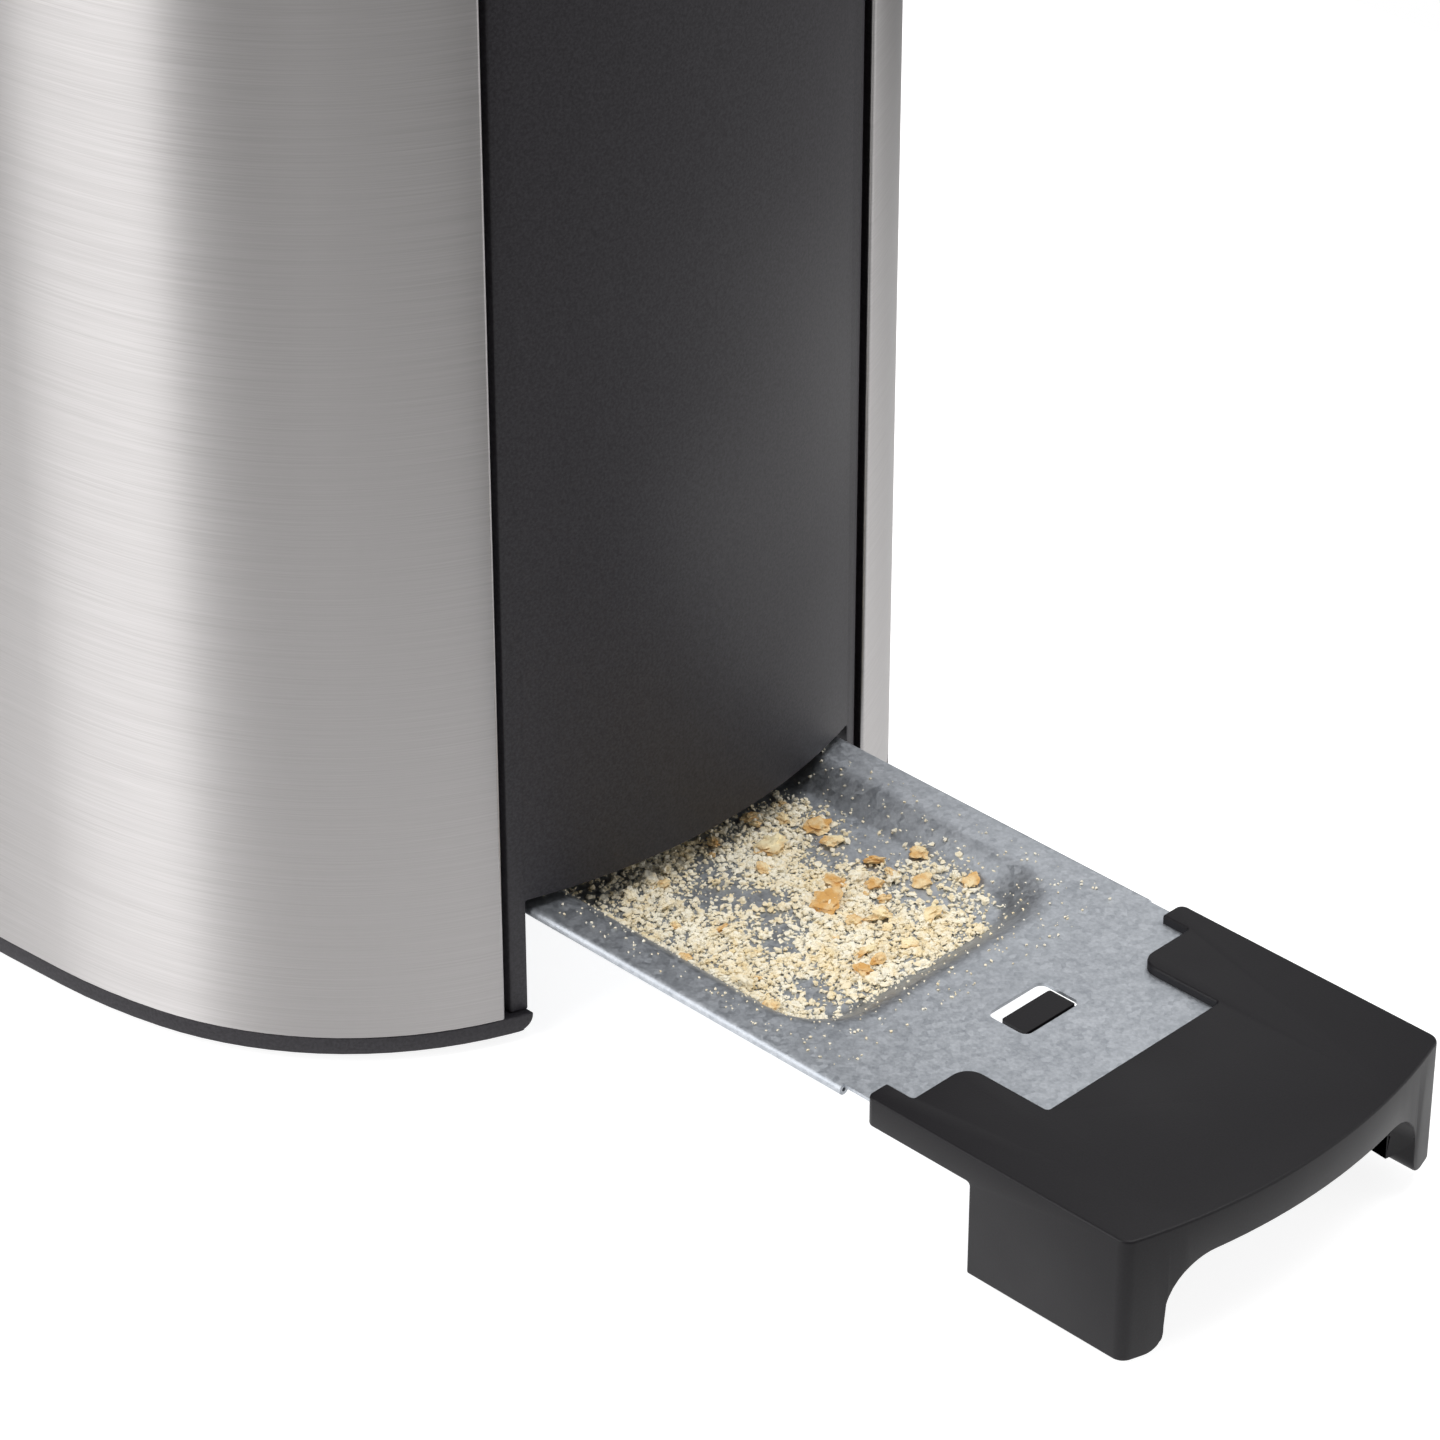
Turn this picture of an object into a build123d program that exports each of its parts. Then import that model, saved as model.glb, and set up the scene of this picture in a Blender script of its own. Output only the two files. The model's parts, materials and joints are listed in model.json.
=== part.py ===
from build123d import *
import os
from math import cos, radians, sin, sqrt

# A two-slice pop up toaster with an oval body: two wrapped steel side shells, a black moulded panel at
# each end, a black top cover and base, a toasting cage inside, and a crumb tray that pulls out at +X.
# Millimetres. The origin is the middle of the toaster's footprint on the surface it stands on.
# +X is the way the crumb tray pulls out, +Z is up. The lever and the controls are on the -X end.

# ---------------------------------------------------------------- driving dimensions
BODY_LENGTH = 272.0
TOTAL_HEIGHT = 207.0
END_RADIUS, END_ANGLE = 118.0, 21.0            # bow of the end panels, as plan arcs tangent to each other
CORNER_RADIUS, CORNER_ANGLE = 66.0, 74.0
SHOULDER_RADIUS, SHOULDER_ANGLE = 110.0, 85.0

FOOT_HEIGHT = 2.0                              # the rubber feet stand proud of the base
RING_HEIGHT = 3.3                              # black base ring seen under the steel
FLOOR = 2.0                                    # moulded floor thickness
SHEET = 0.8                                    # steel sheet of the shells, trims and cage
SHELL_TOP = 200.0
PANEL_HALF = 41.3                              # half width of the end panels
SHELL_EDGE = 42.8                              # the shells start here, past the panels
PANEL_INSET, PANEL_BACK = 1.2, 2.5             # outer and inner face of a panel, in from the outline

SLOT_LENGTH, SLOT_WIDTH = 142.0, 34.0          # bread slots cut in the top cover
SLOT_X, SLOT_Y = 15.0, 27.0                    # their centres, one each side
CAGE_FRONT, CAGE_REAR = -62.0, 92.0            # inner faces of the cage's two bulkheads
CAGE_HALF = 58.0
CAGE_BOTTOM, CAGE_TOP = 30.0, 190.0

TRAY_PULL = 129.4                              # the tray is stored and drawn pulled out this far
TRAY_INNER, TRAY_OUTER = -95.4, 119.6          # ends of its sheet when it is pushed in
TRAY_TOP, TRAY_SHEET = 25.0, 0.6
OPENING_HALF, OPENING_TOP = 38.3, 27.0         # the mouth that the tray slides through

LEVER_Y, LEVER_TRAVEL = -16.0, 75.0
LEVER_Z = 142.0                                # middle of the lever arm with the carriage up
BUTTON_Y = 16.0
DIAL_Z = 38.0
ROD_X = -80.0                                  # upright rod that the carriage slides on

# ---------------------------------------------------------------- values worked out from them
BASE_BOTTOM = FOOT_HEIGHT
RING_TOP = BASE_BOTTOM + RING_HEIGHT
FLOOR_TOP = BASE_BOTTOM + FLOOR
SHELL_BOTTOM = RING_TOP + 0.1
RACK_Z = 110.0                                 # underside of the bread racks, carriage up
SIDES = (("left", 1), ("right", -1))           # seen from the lever end, left is +Y


def arc_chain():
    """Quarter of the plan outline: (centre x, centre y, radius, first angle, last angle)."""
    x, y = BODY_LENGTH / 2 - END_RADIUS, 0.0
    arcs = [(x, y, END_RADIUS, 0.0, END_ANGLE)]
    steps = [(CORNER_RADIUS, CORNER_ANGLE), (SHOULDER_RADIUS, SHOULDER_ANGLE)]
    for radius, angle in steps:
        _, _, last_radius, _, start = arcs[-1]
        x += (last_radius - radius) * cos(radians(start))
        y += (last_radius - radius) * sin(radians(start))
        arcs.append((x, y, radius, start, angle))
    last_radius, start = arcs[-1][2], arcs[-1][4]
    step = x / cos(radians(start))             # brings the side arc's centre onto the Y axis
    y -= step * sin(radians(start))
    arcs.append((0.0, y, last_radius + step, start, 90.0))
    return arcs


ARCS = arc_chain()


def end_x(y, inset=0.0):
    """How far out the end bow stands at a given y, drawn in by inset."""
    centre, _, radius, _, _ = ARCS[0]
    return centre + sqrt((radius - inset) ** 2 - y ** 2)


def plan(inset=0.0):
    """The body's plan outline as a face, drawn in evenly by inset."""
    with BuildSketch() as face:
        with BuildLine():
            for x, y, radius, first, last in ARCS:
                for sx in (1, -1):
                    for sy in (1, -1):
                        start = first if sx * sy > 0 else -last
                        turn = start + (180 if sx < 0 else 0)
                        CenterArc((sx * x, sy * y), radius - inset, turn, last - first)
        make_face()
    return face.sketch


def block(x, y, z, mode=Mode.ADD):
    """A box between two limits on each axis, in the open part."""
    with Locations(((x[0] + x[1]) / 2, (y[0] + y[1]) / 2, (z[0] + z[1]) / 2)):
        Box(x[1] - x[0], y[1] - y[0], z[1] - z[0], mode=mode)


def mirrored(y, side):
    """A pair of y limits on the +Y side, or their mirror image."""
    return sorted((side * y[0], side * y[1]))


def band(outer, inner, z, height, mode=Mode.ADD):
    """A wall that follows the plan outline between two insets, in the open part."""
    with BuildSketch(Plane.XY.offset(z)) as wall:
        add(plan(outer))
        add(plan(inner), mode=Mode.SUBTRACT)
    extrude(wall.sketch, amount=height, mode=mode)


def upright(x, y, radius, z, top, mode=Mode.ADD):
    """A vertical round bar or hole in the open part."""
    with Locations((x, y, (z + top) / 2)):
        Cylinder(radius, top - z, mode=mode)


def along_x(y, z, radius, x, end, mode=Mode.ADD):
    """A round bar or hole along X in the open part."""
    with Locations(Plane(origin=((x + end) / 2, y, z), z_dir=(1, 0, 0))):
        Cylinder(radius, end - x, mode=mode)


# ---------------------------------------------------------------- base and feet
# One black moulding: a floor, the ring that shows under the steel, and a rim that the shells fit over.
# Its floor is cut away under the tray handle, so the handle's legs reach down between the two ears.
RIM_INSET, RIM_WALL, RIM_TOP = 1.2, 2.0, 12.0
NOTCH_X = 96.0
EAR_X, EAR_ROUND = 108.0, 2.9
FOOT_X, FOOT_Y, FOOT_RADIUS = 102.0, 52.0, 8.0
STEM_RADIUS = 3.0
CAGE_SCREWS = [(CAGE_FRONT + 6, 49), (CAGE_FRONT + 6, -49), (CAGE_REAR - 6, 49), (CAGE_REAR - 6, -49)]
CAGE_SEAT = 8.0                                # height of the bosses that the cage's feet stand on
PANEL_SCREW_X, PANEL_SCREW_Y = 117.0, 46.0
PANEL_SCREWS = [(sx * PANEL_SCREW_X, sy * PANEL_SCREW_Y) for sx in (1, -1) for sy in (1, -1)]
HEAD_RADIUS, HEAD_HEIGHT, HEAD_SUNK = 3.75, 2.5, 3.5
SCREW_HOLE, SCREW_RADIUS = 2.1, 2.0
SINK_RADIUS = 3.5

with BuildPart() as base:
    with BuildSketch(Plane.XY.offset(BASE_BOTTOM)):
        add(plan())
    extrude(amount=RING_HEIGHT)
    band(RIM_INSET, RIM_INSET + RIM_WALL, RING_TOP, RIM_TOP - RING_TOP)
    with BuildSketch(Plane.XY.offset(FLOOR_TOP)):
        add(plan(RIM_INSET + RIM_WALL))
    extrude(amount=RIM_TOP, mode=Mode.SUBTRACT)
    for end in (1, -1):                        # the rim stops short of the end panels
        block(sorted((end * 100, end * 140)), (-55, 55), (RING_TOP, RIM_TOP + 1), Mode.SUBTRACT)
    block((NOTCH_X, 140), (-OPENING_HALF, OPENING_HALF), (0, RIM_TOP), Mode.SUBTRACT)
    for side in (1, -1):                       # ears each side of the notch, rounded under
        block((EAR_X, 127), mirrored((OPENING_HALF, PANEL_HALF), side), (BASE_BOTTOM, RING_TOP))
    with BuildSketch(Plane.YZ.offset(EAR_X)) as rounding:
        with Locations([(side * (OPENING_HALF + EAR_ROUND / 2), BASE_BOTTOM + EAR_ROUND / 2)
                        for side in (1, -1)]):
            Rectangle(EAR_ROUND, EAR_ROUND)
        with Locations([(side * (OPENING_HALF + EAR_ROUND), BASE_BOTTOM + EAR_ROUND)
                        for side in (1, -1)]):
            Circle(EAR_ROUND, mode=Mode.SUBTRACT)
    extrude(rounding.sketch, amount=40, mode=Mode.SUBTRACT)
    for x, y in CAGE_SCREWS:
        upright(x, y, 6.0, BASE_BOTTOM, CAGE_SEAT)
        upright(x, y, HEAD_RADIUS + 0.25, BASE_BOTTOM - 1, BASE_BOTTOM + HEAD_SUNK, Mode.SUBTRACT)
        upright(x, y, SCREW_HOLE, BASE_BOTTOM, CAGE_SEAT, Mode.SUBTRACT)
    with Locations([Plane(origin=(x, y, BASE_BOTTOM), z_dir=(0, 0, -1)) for x, y in PANEL_SCREWS]):
        CounterSinkHole(radius=1.9, counter_sink_radius=SINK_RADIUS + 0.1, depth=FLOOR)
    for sx in (1, -1):
        for sy in (1, -1):
            upright(sx * FOOT_X, sy * FOOT_Y, STEM_RADIUS + 0.1, BASE_BOTTOM, FLOOR_TOP, Mode.SUBTRACT)
base.part.label = "base"

with BuildPart() as rubber_feet:
    for sx in (1, -1):
        for sy in (1, -1):
            x, y = sx * FOOT_X, sy * FOOT_Y
            upright(x, y, FOOT_RADIUS, 0, FOOT_HEIGHT)
            upright(x, y, STEM_RADIUS, FOOT_HEIGHT, FLOOR_TOP)
            upright(x, y, STEM_RADIUS + 1.2, FLOOR_TOP, FLOOR_TOP + 1.6)
rubber_feet.part.label = "rubber_feet"

with BuildPart() as base_screws:
    for x, y in CAGE_SCREWS:
        head_top = BASE_BOTTOM + HEAD_SUNK
        upright(x, y, HEAD_RADIUS, head_top - HEAD_HEIGHT, head_top)
        upright(x, y, SCREW_RADIUS, head_top, CAGE_SEAT + 4)
    recess_top = BASE_BOTTOM + HEAD_SUNK - HEAD_HEIGHT + 1.2
    for x, y in CAGE_SCREWS:                   # cross recess in each head
        for length, width in ((4.2, 1.1), (1.1, 4.2)):
            half = (length / 2, width / 2)
            block((x - half[0], x + half[0]), (y - half[1], y + half[1]), (0, recess_top), Mode.SUBTRACT)
base_screws.part.label = "base_screws"

with BuildPart() as panel_screws:
    for x, y in PANEL_SCREWS:
        with Locations((x, y, BASE_BOTTOM + SINK_RADIUS / 2 - 0.85)):
            Cone(SINK_RADIUS, 1.7, SINK_RADIUS - 1.7)
        upright(x, y, 1.7, BASE_BOTTOM, 15)
panel_screws.part.label = "panel_screws"

# ---------------------------------------------------------------- steel side shells
# One brushed sheet each, wrapped round a side and two corners, with its ends turned in at the panels.
TURN_IN = 3.0


def shell(side):
    """One side shell as a finished part: side is +1 or -1."""
    with BuildPart() as wrap:
        band(0, SHEET, SHELL_BOTTOM, SHELL_TOP - SHELL_BOTTOM)
        block((-140, 140), mirrored((-100, SHELL_EDGE), side), (0, SHELL_TOP + 1), Mode.SUBTRACT)
        for end in (1, -1):
            with BuildSketch(Plane.XY.offset(SHELL_BOTTOM)) as turned:
                add(plan())
                add(plan(TURN_IN), mode=Mode.SUBTRACT)
                with Locations((end * 100, side * (SHELL_EDGE + SHEET / 2))):
                    Rectangle(80, SHEET, mode=Mode.INTERSECT)
            extrude(turned.sketch, amount=SHELL_TOP - SHELL_BOTTOM)
        ends = wrap.edges().filter_by(Axis.Z).filter_by(
            lambda edge: abs(abs(edge.center().Y) - SHELL_EDGE) < 0.01
            and abs(edge.center().X) > end_x(SHELL_EDGE) - 0.1)
        fillet(ends, radius=0.6)
    return wrap.part


shell_left = shell(1)
shell_left.label = "shell_left"
shell_right = shell(-1)
shell_right.label = "shell_right"

# ---------------------------------------------------------------- end panels
# Black mouldings bowed like the body's ends. Each has short side walls and, behind the steel's turned-in
# ends, a flange with two screw bosses.
PANEL_BOTTOM, PANEL_TOP = RING_TOP, SHELL_TOP - 0.1
FLANGE_INSET, FLANGE_THICK, FLANGE_HALF = 4.2, 1.8, 53.0
BOSS_RADIUS = 4.5


def panel_wall(end):
    """Bowed wall, side walls, flanges and screw bosses of an end panel, in the open part."""
    height = PANEL_TOP - PANEL_BOTTOM
    back = FLANGE_INSET + FLANGE_THICK
    for outer, inner, low, high in ((PANEL_INSET, PANEL_BACK, 0, PANEL_HALF),
                                    (PANEL_BACK, back, PANEL_HALF - 2.2, PANEL_HALF),
                                    (FLANGE_INSET, back, PANEL_HALF - 2.2, FLANGE_HALF)):
        for side in (1, -1):
            with BuildSketch(Plane.XY.offset(PANEL_BOTTOM)) as strip:
                add(plan(outer))
                add(plan(inner), mode=Mode.SUBTRACT)
                with Locations((end * 100, side * (low + high) / 2)):
                    Rectangle(80, high - low, mode=Mode.INTERSECT)
            extrude(strip.sketch, amount=height)
    for side in (1, -1):
        x, y = end * PANEL_SCREW_X, side * PANEL_SCREW_Y
        upright(x, y, BOSS_RADIUS, FLOOR_TOP, 30)
        upright(x, y, 1.8, FLOOR_TOP, 26, Mode.SUBTRACT)


LINTEL = 2.0
CHEEK_X = 112.0

with BuildPart() as rear_panel:
    panel_wall(1)
    block((100, 140), (-OPENING_HALF, OPENING_HALF), (0, OPENING_TOP), Mode.SUBTRACT)
    with BuildSketch(Plane.XY.offset(OPENING_TOP)) as lintel:
        add(plan((PANEL_INSET + PANEL_BACK) / 2))
        with Locations(((CHEEK_X + 140) / 2, 0)):
            Rectangle(140 - CHEEK_X, 2 * (PANEL_HALF - 1), mode=Mode.INTERSECT)
    extrude(lintel.sketch, amount=LINTEL)
    for side in (1, -1):                       # cheeks beside the tray handle
        with BuildSketch(Plane.XY.offset(RING_TOP)) as cheek:
            add(plan((PANEL_INSET + PANEL_BACK) / 2))
            with Locations(((CHEEK_X + 140) / 2, side * (OPENING_HALF + 1))):
                Rectangle(140 - CHEEK_X, 2, mode=Mode.INTERSECT)
        extrude(cheek.sketch, amount=OPENING_TOP + LINTEL - RING_TOP)
rear_panel.part.label = "rear_panel"

LEVER_HALF = 4.0                               # half height of the lever arm
SLOT_LOW, SLOT_HIGH = LEVER_Z - LEVER_TRAVEL - LEVER_HALF - 1, LEVER_Z + LEVER_HALF + 1
LEVER_SLOT = 6.0
PAD_X = -136.4                                 # flat front of the raised pads round the controls
BUTTON_ZS = {"cancel_button": 110.0, "reheat_button": 90.0, "defrost_button": 70.0}
BUTTON_RADIUS = 6.0
DIAL_PAD_X, DIAL_PAD_RADIUS = -137.0, 19.0
SPINDLE_RADIUS = 3.0
GLAND_Y, GLAND_Z = 29.0, 15.0
GLAND_PAD_X = -134.2
GLAND_NECK = 4.8
PAD_BACK = 126.0                               # pads reach in this far before the panel is hollowed


def pad(y, z, width, height, corner, front):
    """A raised flat pad on the lever end, in the open part."""
    with BuildSketch(Plane(origin=(front, y, z), x_dir=(0, 1, 0), z_dir=(1, 0, 0))) as face:
        RectangleRounded(width, height, corner)
    extrude(face.sketch, amount=-front - PAD_BACK)


with BuildPart() as front_panel:
    panel_wall(-1)
    pad(LEVER_Y, (SLOT_LOW + SLOT_HIGH) / 2, 15, SLOT_HIGH - SLOT_LOW + 14, 7, PAD_X)
    pad(BUTTON_Y, (SLOT_LOW + SLOT_HIGH) / 2, 20, SLOT_HIGH - SLOT_LOW + 14, 7, PAD_X)
    pad(0, DIAL_Z, 2 * DIAL_PAD_RADIUS, 2 * DIAL_PAD_RADIUS, DIAL_PAD_RADIUS - 0.1, DIAL_PAD_X)
    pad(GLAND_Y, GLAND_Z, 17, 17, 8.4, GLAND_PAD_X)
    with BuildSketch(Plane.XY.offset(PANEL_BOTTOM)) as hollow:
        add(plan(PANEL_BACK))
        with Locations((-100, 0)):
            Rectangle(80, 2 * (PANEL_HALF - 2.2), mode=Mode.INTERSECT)
    extrude(hollow.sketch, amount=200, mode=Mode.SUBTRACT)
    half = LEVER_SLOT / 2
    block((-140, -120), (LEVER_Y - half, LEVER_Y + half), (SLOT_LOW, SLOT_HIGH), Mode.SUBTRACT)
    for z in BUTTON_ZS.values():
        along_x(BUTTON_Y, z, BUTTON_RADIUS + 0.3, -140, -120, Mode.SUBTRACT)
    along_x(0, DIAL_Z, SPINDLE_RADIUS + 0.6, -140, -120, Mode.SUBTRACT)
    along_x(GLAND_Y, GLAND_Z, GLAND_NECK + 0.2, -140, -120, Mode.SUBTRACT)
front_panel.part.label = "front_panel"

# ---------------------------------------------------------------- top cover and slot trims
COVER_TOP = TOTAL_HEIGHT - SHEET
COVER_ROUND, COVER_WALL = 4.5, 2.5
LIP_INSET, LIP_WALL, LIP_BOTTOM = 1.3, 1.8, 193.0
COLLAR, COLLAR_BOTTOM = 1.6, 196.0
CUT_ROUND = 5.0
TRIM_LENGTH, TRIM_WIDTH = 140.0, 32.0          # clear opening inside the trims
SLOT_CENTRES = [(SLOT_X, side * SLOT_Y) for _, side in SIDES]

with BuildPart() as top_cover:
    with BuildSketch(Plane.XY.offset(SHELL_TOP)):
        add(plan())
    extrude(amount=COVER_TOP - SHELL_TOP)
    fillet(top_cover.edges().group_by(Axis.Z)[-1], radius=COVER_ROUND)
    with BuildSketch(Plane.XY.offset(SHELL_TOP)):
        add(plan(LIP_INSET + LIP_WALL + 1.5))
    extrude(amount=COVER_TOP - SHELL_TOP - COVER_WALL, mode=Mode.SUBTRACT)
    band(LIP_INSET, LIP_INSET + LIP_WALL, LIP_BOTTOM, SHELL_TOP - LIP_BOTTOM)
    for end in (1, -1):                        # the lip stops short of the end panels
        block(sorted((end * 95, end * 140)), (-56, 56), (LIP_BOTTOM - 1, SHELL_TOP), Mode.SUBTRACT)
    with BuildSketch(Plane.XY.offset(COLLAR_BOTTOM)):
        with Locations(*SLOT_CENTRES):
            RectangleRounded(SLOT_LENGTH + 2 * COLLAR, SLOT_WIDTH + 2 * COLLAR, CUT_ROUND + COLLAR)
    extrude(amount=COVER_TOP - 1 - COLLAR_BOTTOM)
    with BuildSketch(Plane.XY.offset(COLLAR_BOTTOM)):
        with Locations(*SLOT_CENTRES):
            RectangleRounded(SLOT_LENGTH, SLOT_WIDTH, CUT_ROUND)
    extrude(amount=20, mode=Mode.SUBTRACT)
top_cover.part.label = "top_cover"


def trim(side):
    """Bright frame dropped into one bread slot: a flat flange with a neck that goes down inside."""
    with BuildPart(Plane.XY.offset(COVER_TOP)) as frame:
        with BuildSketch(Plane.XY.offset(COVER_TOP)) as flange:
            with Locations((SLOT_X, side * SLOT_Y)):
                RectangleRounded(SLOT_LENGTH + 8, SLOT_WIDTH + 7, CUT_ROUND + 3.5)
        extrude(flange.sketch, amount=SHEET)
        fillet(frame.edges().group_by(Axis.Z)[-1], radius=0.4)
        neck_top = Plane.XY.offset(COVER_TOP + SHEET / 2)
        with BuildSketch(neck_top) as neck:
            with Locations((SLOT_X, side * SLOT_Y)):
                RectangleRounded(TRIM_LENGTH + 2 * SHEET, TRIM_WIDTH + 2 * SHEET, CUT_ROUND - 0.3)
        extrude(neck.sketch, amount=-9)
        with BuildSketch(Plane.XY.offset(COVER_TOP + SHEET)) as mouth:
            with Locations((SLOT_X, side * SLOT_Y)):
                RectangleRounded(TRIM_LENGTH, TRIM_WIDTH, CUT_ROUND - 1.1)
        extrude(mouth.sketch, amount=-12, mode=Mode.SUBTRACT)
    return frame.part


slot_trim_left = trim(1)
slot_trim_left.label = "slot_trim_left"
slot_trim_right = trim(-1)
slot_trim_right.label = "slot_trim_right"

# ---------------------------------------------------------------- toasting cage
# Two upright bulkheads on bent feet, two reflector sides and a top frame, all 0.8 mm steel sheet.
LEG_IN, LEG_OUT = 42.5, 55.5
FOOT_LENGTH = 12.0
ARM_SLOT = 3.0                                 # half width of the slots that the bread racks run in
ARM_LOW, ARM_HIGH = 32.0, 124.0
MAGNET_X, MAGNET_Y = -94.0, 20.0
TAB_TOP = CAGE_BOTTOM + SHEET
UPPER_TAB = 186.0
TAB_HALF = 14.0
ROD_RADIUS = 3.0


def bulkhead(inner, out):
    """Upright plate, legs and bent feet of a bulkhead: out is +1 or -1, the way it faces."""
    plate = sorted((inner, inner + out * SHEET))
    foot = sorted((inner + out * SHEET, inner - out * FOOT_LENGTH))
    block(plate, (-CAGE_HALF, CAGE_HALF), (CAGE_BOTTOM, CAGE_TOP))
    for side in (1, -1):
        leg = mirrored((LEG_IN, LEG_OUT), side)
        block(plate, leg, (CAGE_SEAT, CAGE_BOTTOM))
        block(foot, leg, (CAGE_SEAT, CAGE_SEAT + SHEET))
        block(plate, (side * SLOT_Y - ARM_SLOT, side * SLOT_Y + ARM_SLOT), (ARM_LOW, ARM_HIGH),
              Mode.SUBTRACT)
        upright(inner - out * 6, side * 49, SCREW_HOLE, 0, 20, Mode.SUBTRACT)


with BuildPart() as bulkhead_front:
    bulkhead(CAGE_FRONT, -1)
    tab_end = MAGNET_X - 10
    block((tab_end, CAGE_FRONT), (-TAB_HALF, MAGNET_Y + 13), (CAGE_BOTTOM, TAB_TOP))
    block((ROD_X - 10, CAGE_FRONT), (-TAB_HALF, TAB_HALF), (UPPER_TAB, UPPER_TAB + SHEET))
    upright(ROD_X, 0, ROD_RADIUS + 0.05, CAGE_BOTTOM - 1, CAGE_TOP, Mode.SUBTRACT)
bulkhead_front.part.label = "bulkhead_front"

with BuildPart() as bulkhead_rear:
    bulkhead(CAGE_REAR, 1)
bulkhead_rear.part.label = "bulkhead_rear"


def reflector(side):
    """One bright side plate of the cage with a flange turned in along its foot."""
    with BuildPart() as sheet:
        block((CAGE_FRONT, CAGE_REAR), mirrored((CAGE_HALF - SHEET, CAGE_HALF), side),
              (CAGE_BOTTOM, CAGE_TOP))
        block((CAGE_FRONT, CAGE_REAR), mirrored((CAGE_HALF - 6, CAGE_HALF), side),
              (CAGE_BOTTOM, CAGE_BOTTOM + SHEET))
    return sheet.part


reflector_left = reflector(1)
reflector_left.label = "reflector_left"
reflector_right = reflector(-1)
reflector_right.label = "reflector_right"

BREAD_HALF = 14.5                              # half width of the way through for a slice

with BuildPart() as top_frame:
    block((CAGE_FRONT - SHEET, CAGE_REAR + SHEET), (-CAGE_HALF, CAGE_HALF), (CAGE_TOP, CAGE_TOP + SHEET))
    with BuildSketch(Plane.XY.offset(CAGE_TOP)):
        with Locations(*SLOT_CENTRES):
            RectangleRounded(SLOT_LENGTH, 2 * BREAD_HALF, 3)
    extrude(amount=SHEET, mode=Mode.SUBTRACT)
top_frame.part.label = "top_frame"

# ---------------------------------------------------------------- heaters and bread guards
CARD_FRONT, CARD_REAR = -56.0, 86.0
CARD_LOW, CARD_HIGH = 36.0, 186.0
CARD_YS = {"centre": 0.0, "left": 50.0, "right": -50.0}
TURNS, TURN_PITCH, TURN_HEIGHT = 15, 9.0, 1.4
WIRE = 0.8                                     # radius of the guard wires
GUARD_OFFSET = 15.5                            # guards stand this far from a slot's middle
GUARD_WIRES = 10


def mica_card(y):
    """An insulating card that a heater is wound on, with hooks at its ends to fix it by."""
    with BuildPart() as card:
        block((CARD_FRONT, CARD_REAR), (y - SHEET / 2, y + SHEET / 2), (CARD_LOW, CARD_HIGH))
        for z in (60.0, 160.0):
            block((CAGE_FRONT, CARD_FRONT), (y - SHEET / 2, y + SHEET / 2), (z, z + 8))
            block((CARD_REAR, CAGE_REAR), (y - SHEET / 2, y + SHEET / 2), (z, z + 8))
    return card.part


def heater_winding(y):
    """Flat resistance ribbon wound round a card, with a lead strip down one end."""
    with BuildPart() as ribbon:
        half = SHEET / 2 + 0.45
        front, rear = CARD_FRONT + 6, CARD_REAR - 6
        for turn in range(TURNS):
            z = CARD_LOW + 8 + turn * TURN_PITCH
            block((front, rear), (y - half, y + half), (z, z + TURN_HEIGHT))
        top = CARD_LOW + 8 + (TURNS - 1) * TURN_PITCH + TURN_HEIGHT
        block((rear - 4, rear), (y - half, y + half), (CARD_LOW + 8, top))
        block((front - 1, rear + 1), (y - SHEET / 2, y + SHEET / 2), (CARD_LOW, CARD_HIGH), Mode.SUBTRACT)
    return ribbon.part


def bread_guard(y):
    """A row of upright wires with a cross wire near each end, that keeps bread off a heater."""
    with BuildPart() as guard:
        step = (CARD_REAR - CARD_FRONT - 12) / (GUARD_WIRES - 1)
        for index in range(GUARD_WIRES):
            upright(CARD_FRONT + 6 + index * step, y, WIRE, CAGE_BOTTOM + 4, CAGE_TOP)
        for z in (CAGE_BOTTOM + 8, CAGE_TOP - 6):
            along_x(y, z, WIRE, CAGE_FRONT, CAGE_REAR)
    return guard.part


cards = {f"mica_card_{name}": mica_card(y) for name, y in CARD_YS.items()}
windings = {f"heater_winding_{name}": heater_winding(y) for name, y in CARD_YS.items()}
guards = {f"bread_guard_{name}_{place}": bread_guard(side * (SLOT_Y + offset))
          for name, side in SIDES
          for place, offset in (("inner", -GUARD_OFFSET), ("outer", GUARD_OFFSET))}

# ---------------------------------------------------------------- crumb tray guides
GUIDE_FRONT, GUIDE_REAR = -95.0, 70.0
GUIDE_WEB = 38.7
LEDGE_TOP = 22.8


def tray_guide(side):
    """A folded steel channel on the floor: a ledge under the tray's edge and a lip over it."""
    with BuildPart() as guide:
        run = (GUIDE_FRONT, GUIDE_REAR)
        lip = OPENING_TOP + 0.4
        block(run, mirrored((GUIDE_WEB, GUIDE_WEB + SHEET), side), (FLOOR_TOP, lip))
        block(run, mirrored((GUIDE_WEB, GUIDE_WEB + 3.6), side), (FLOOR_TOP, FLOOR_TOP + SHEET))
        block(run, mirrored((GUIDE_WEB - 4, GUIDE_WEB), side), (LEDGE_TOP - SHEET, LEDGE_TOP))
        block(run, mirrored((GUIDE_WEB - 3.4, GUIDE_WEB), side), (lip - SHEET, lip))
    return guide.part


tray_guide_left = tray_guide(1)
tray_guide_left.label = "tray_guide_left"
tray_guide_right = tray_guide(-1)
tray_guide_right.label = "tray_guide_right"

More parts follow.
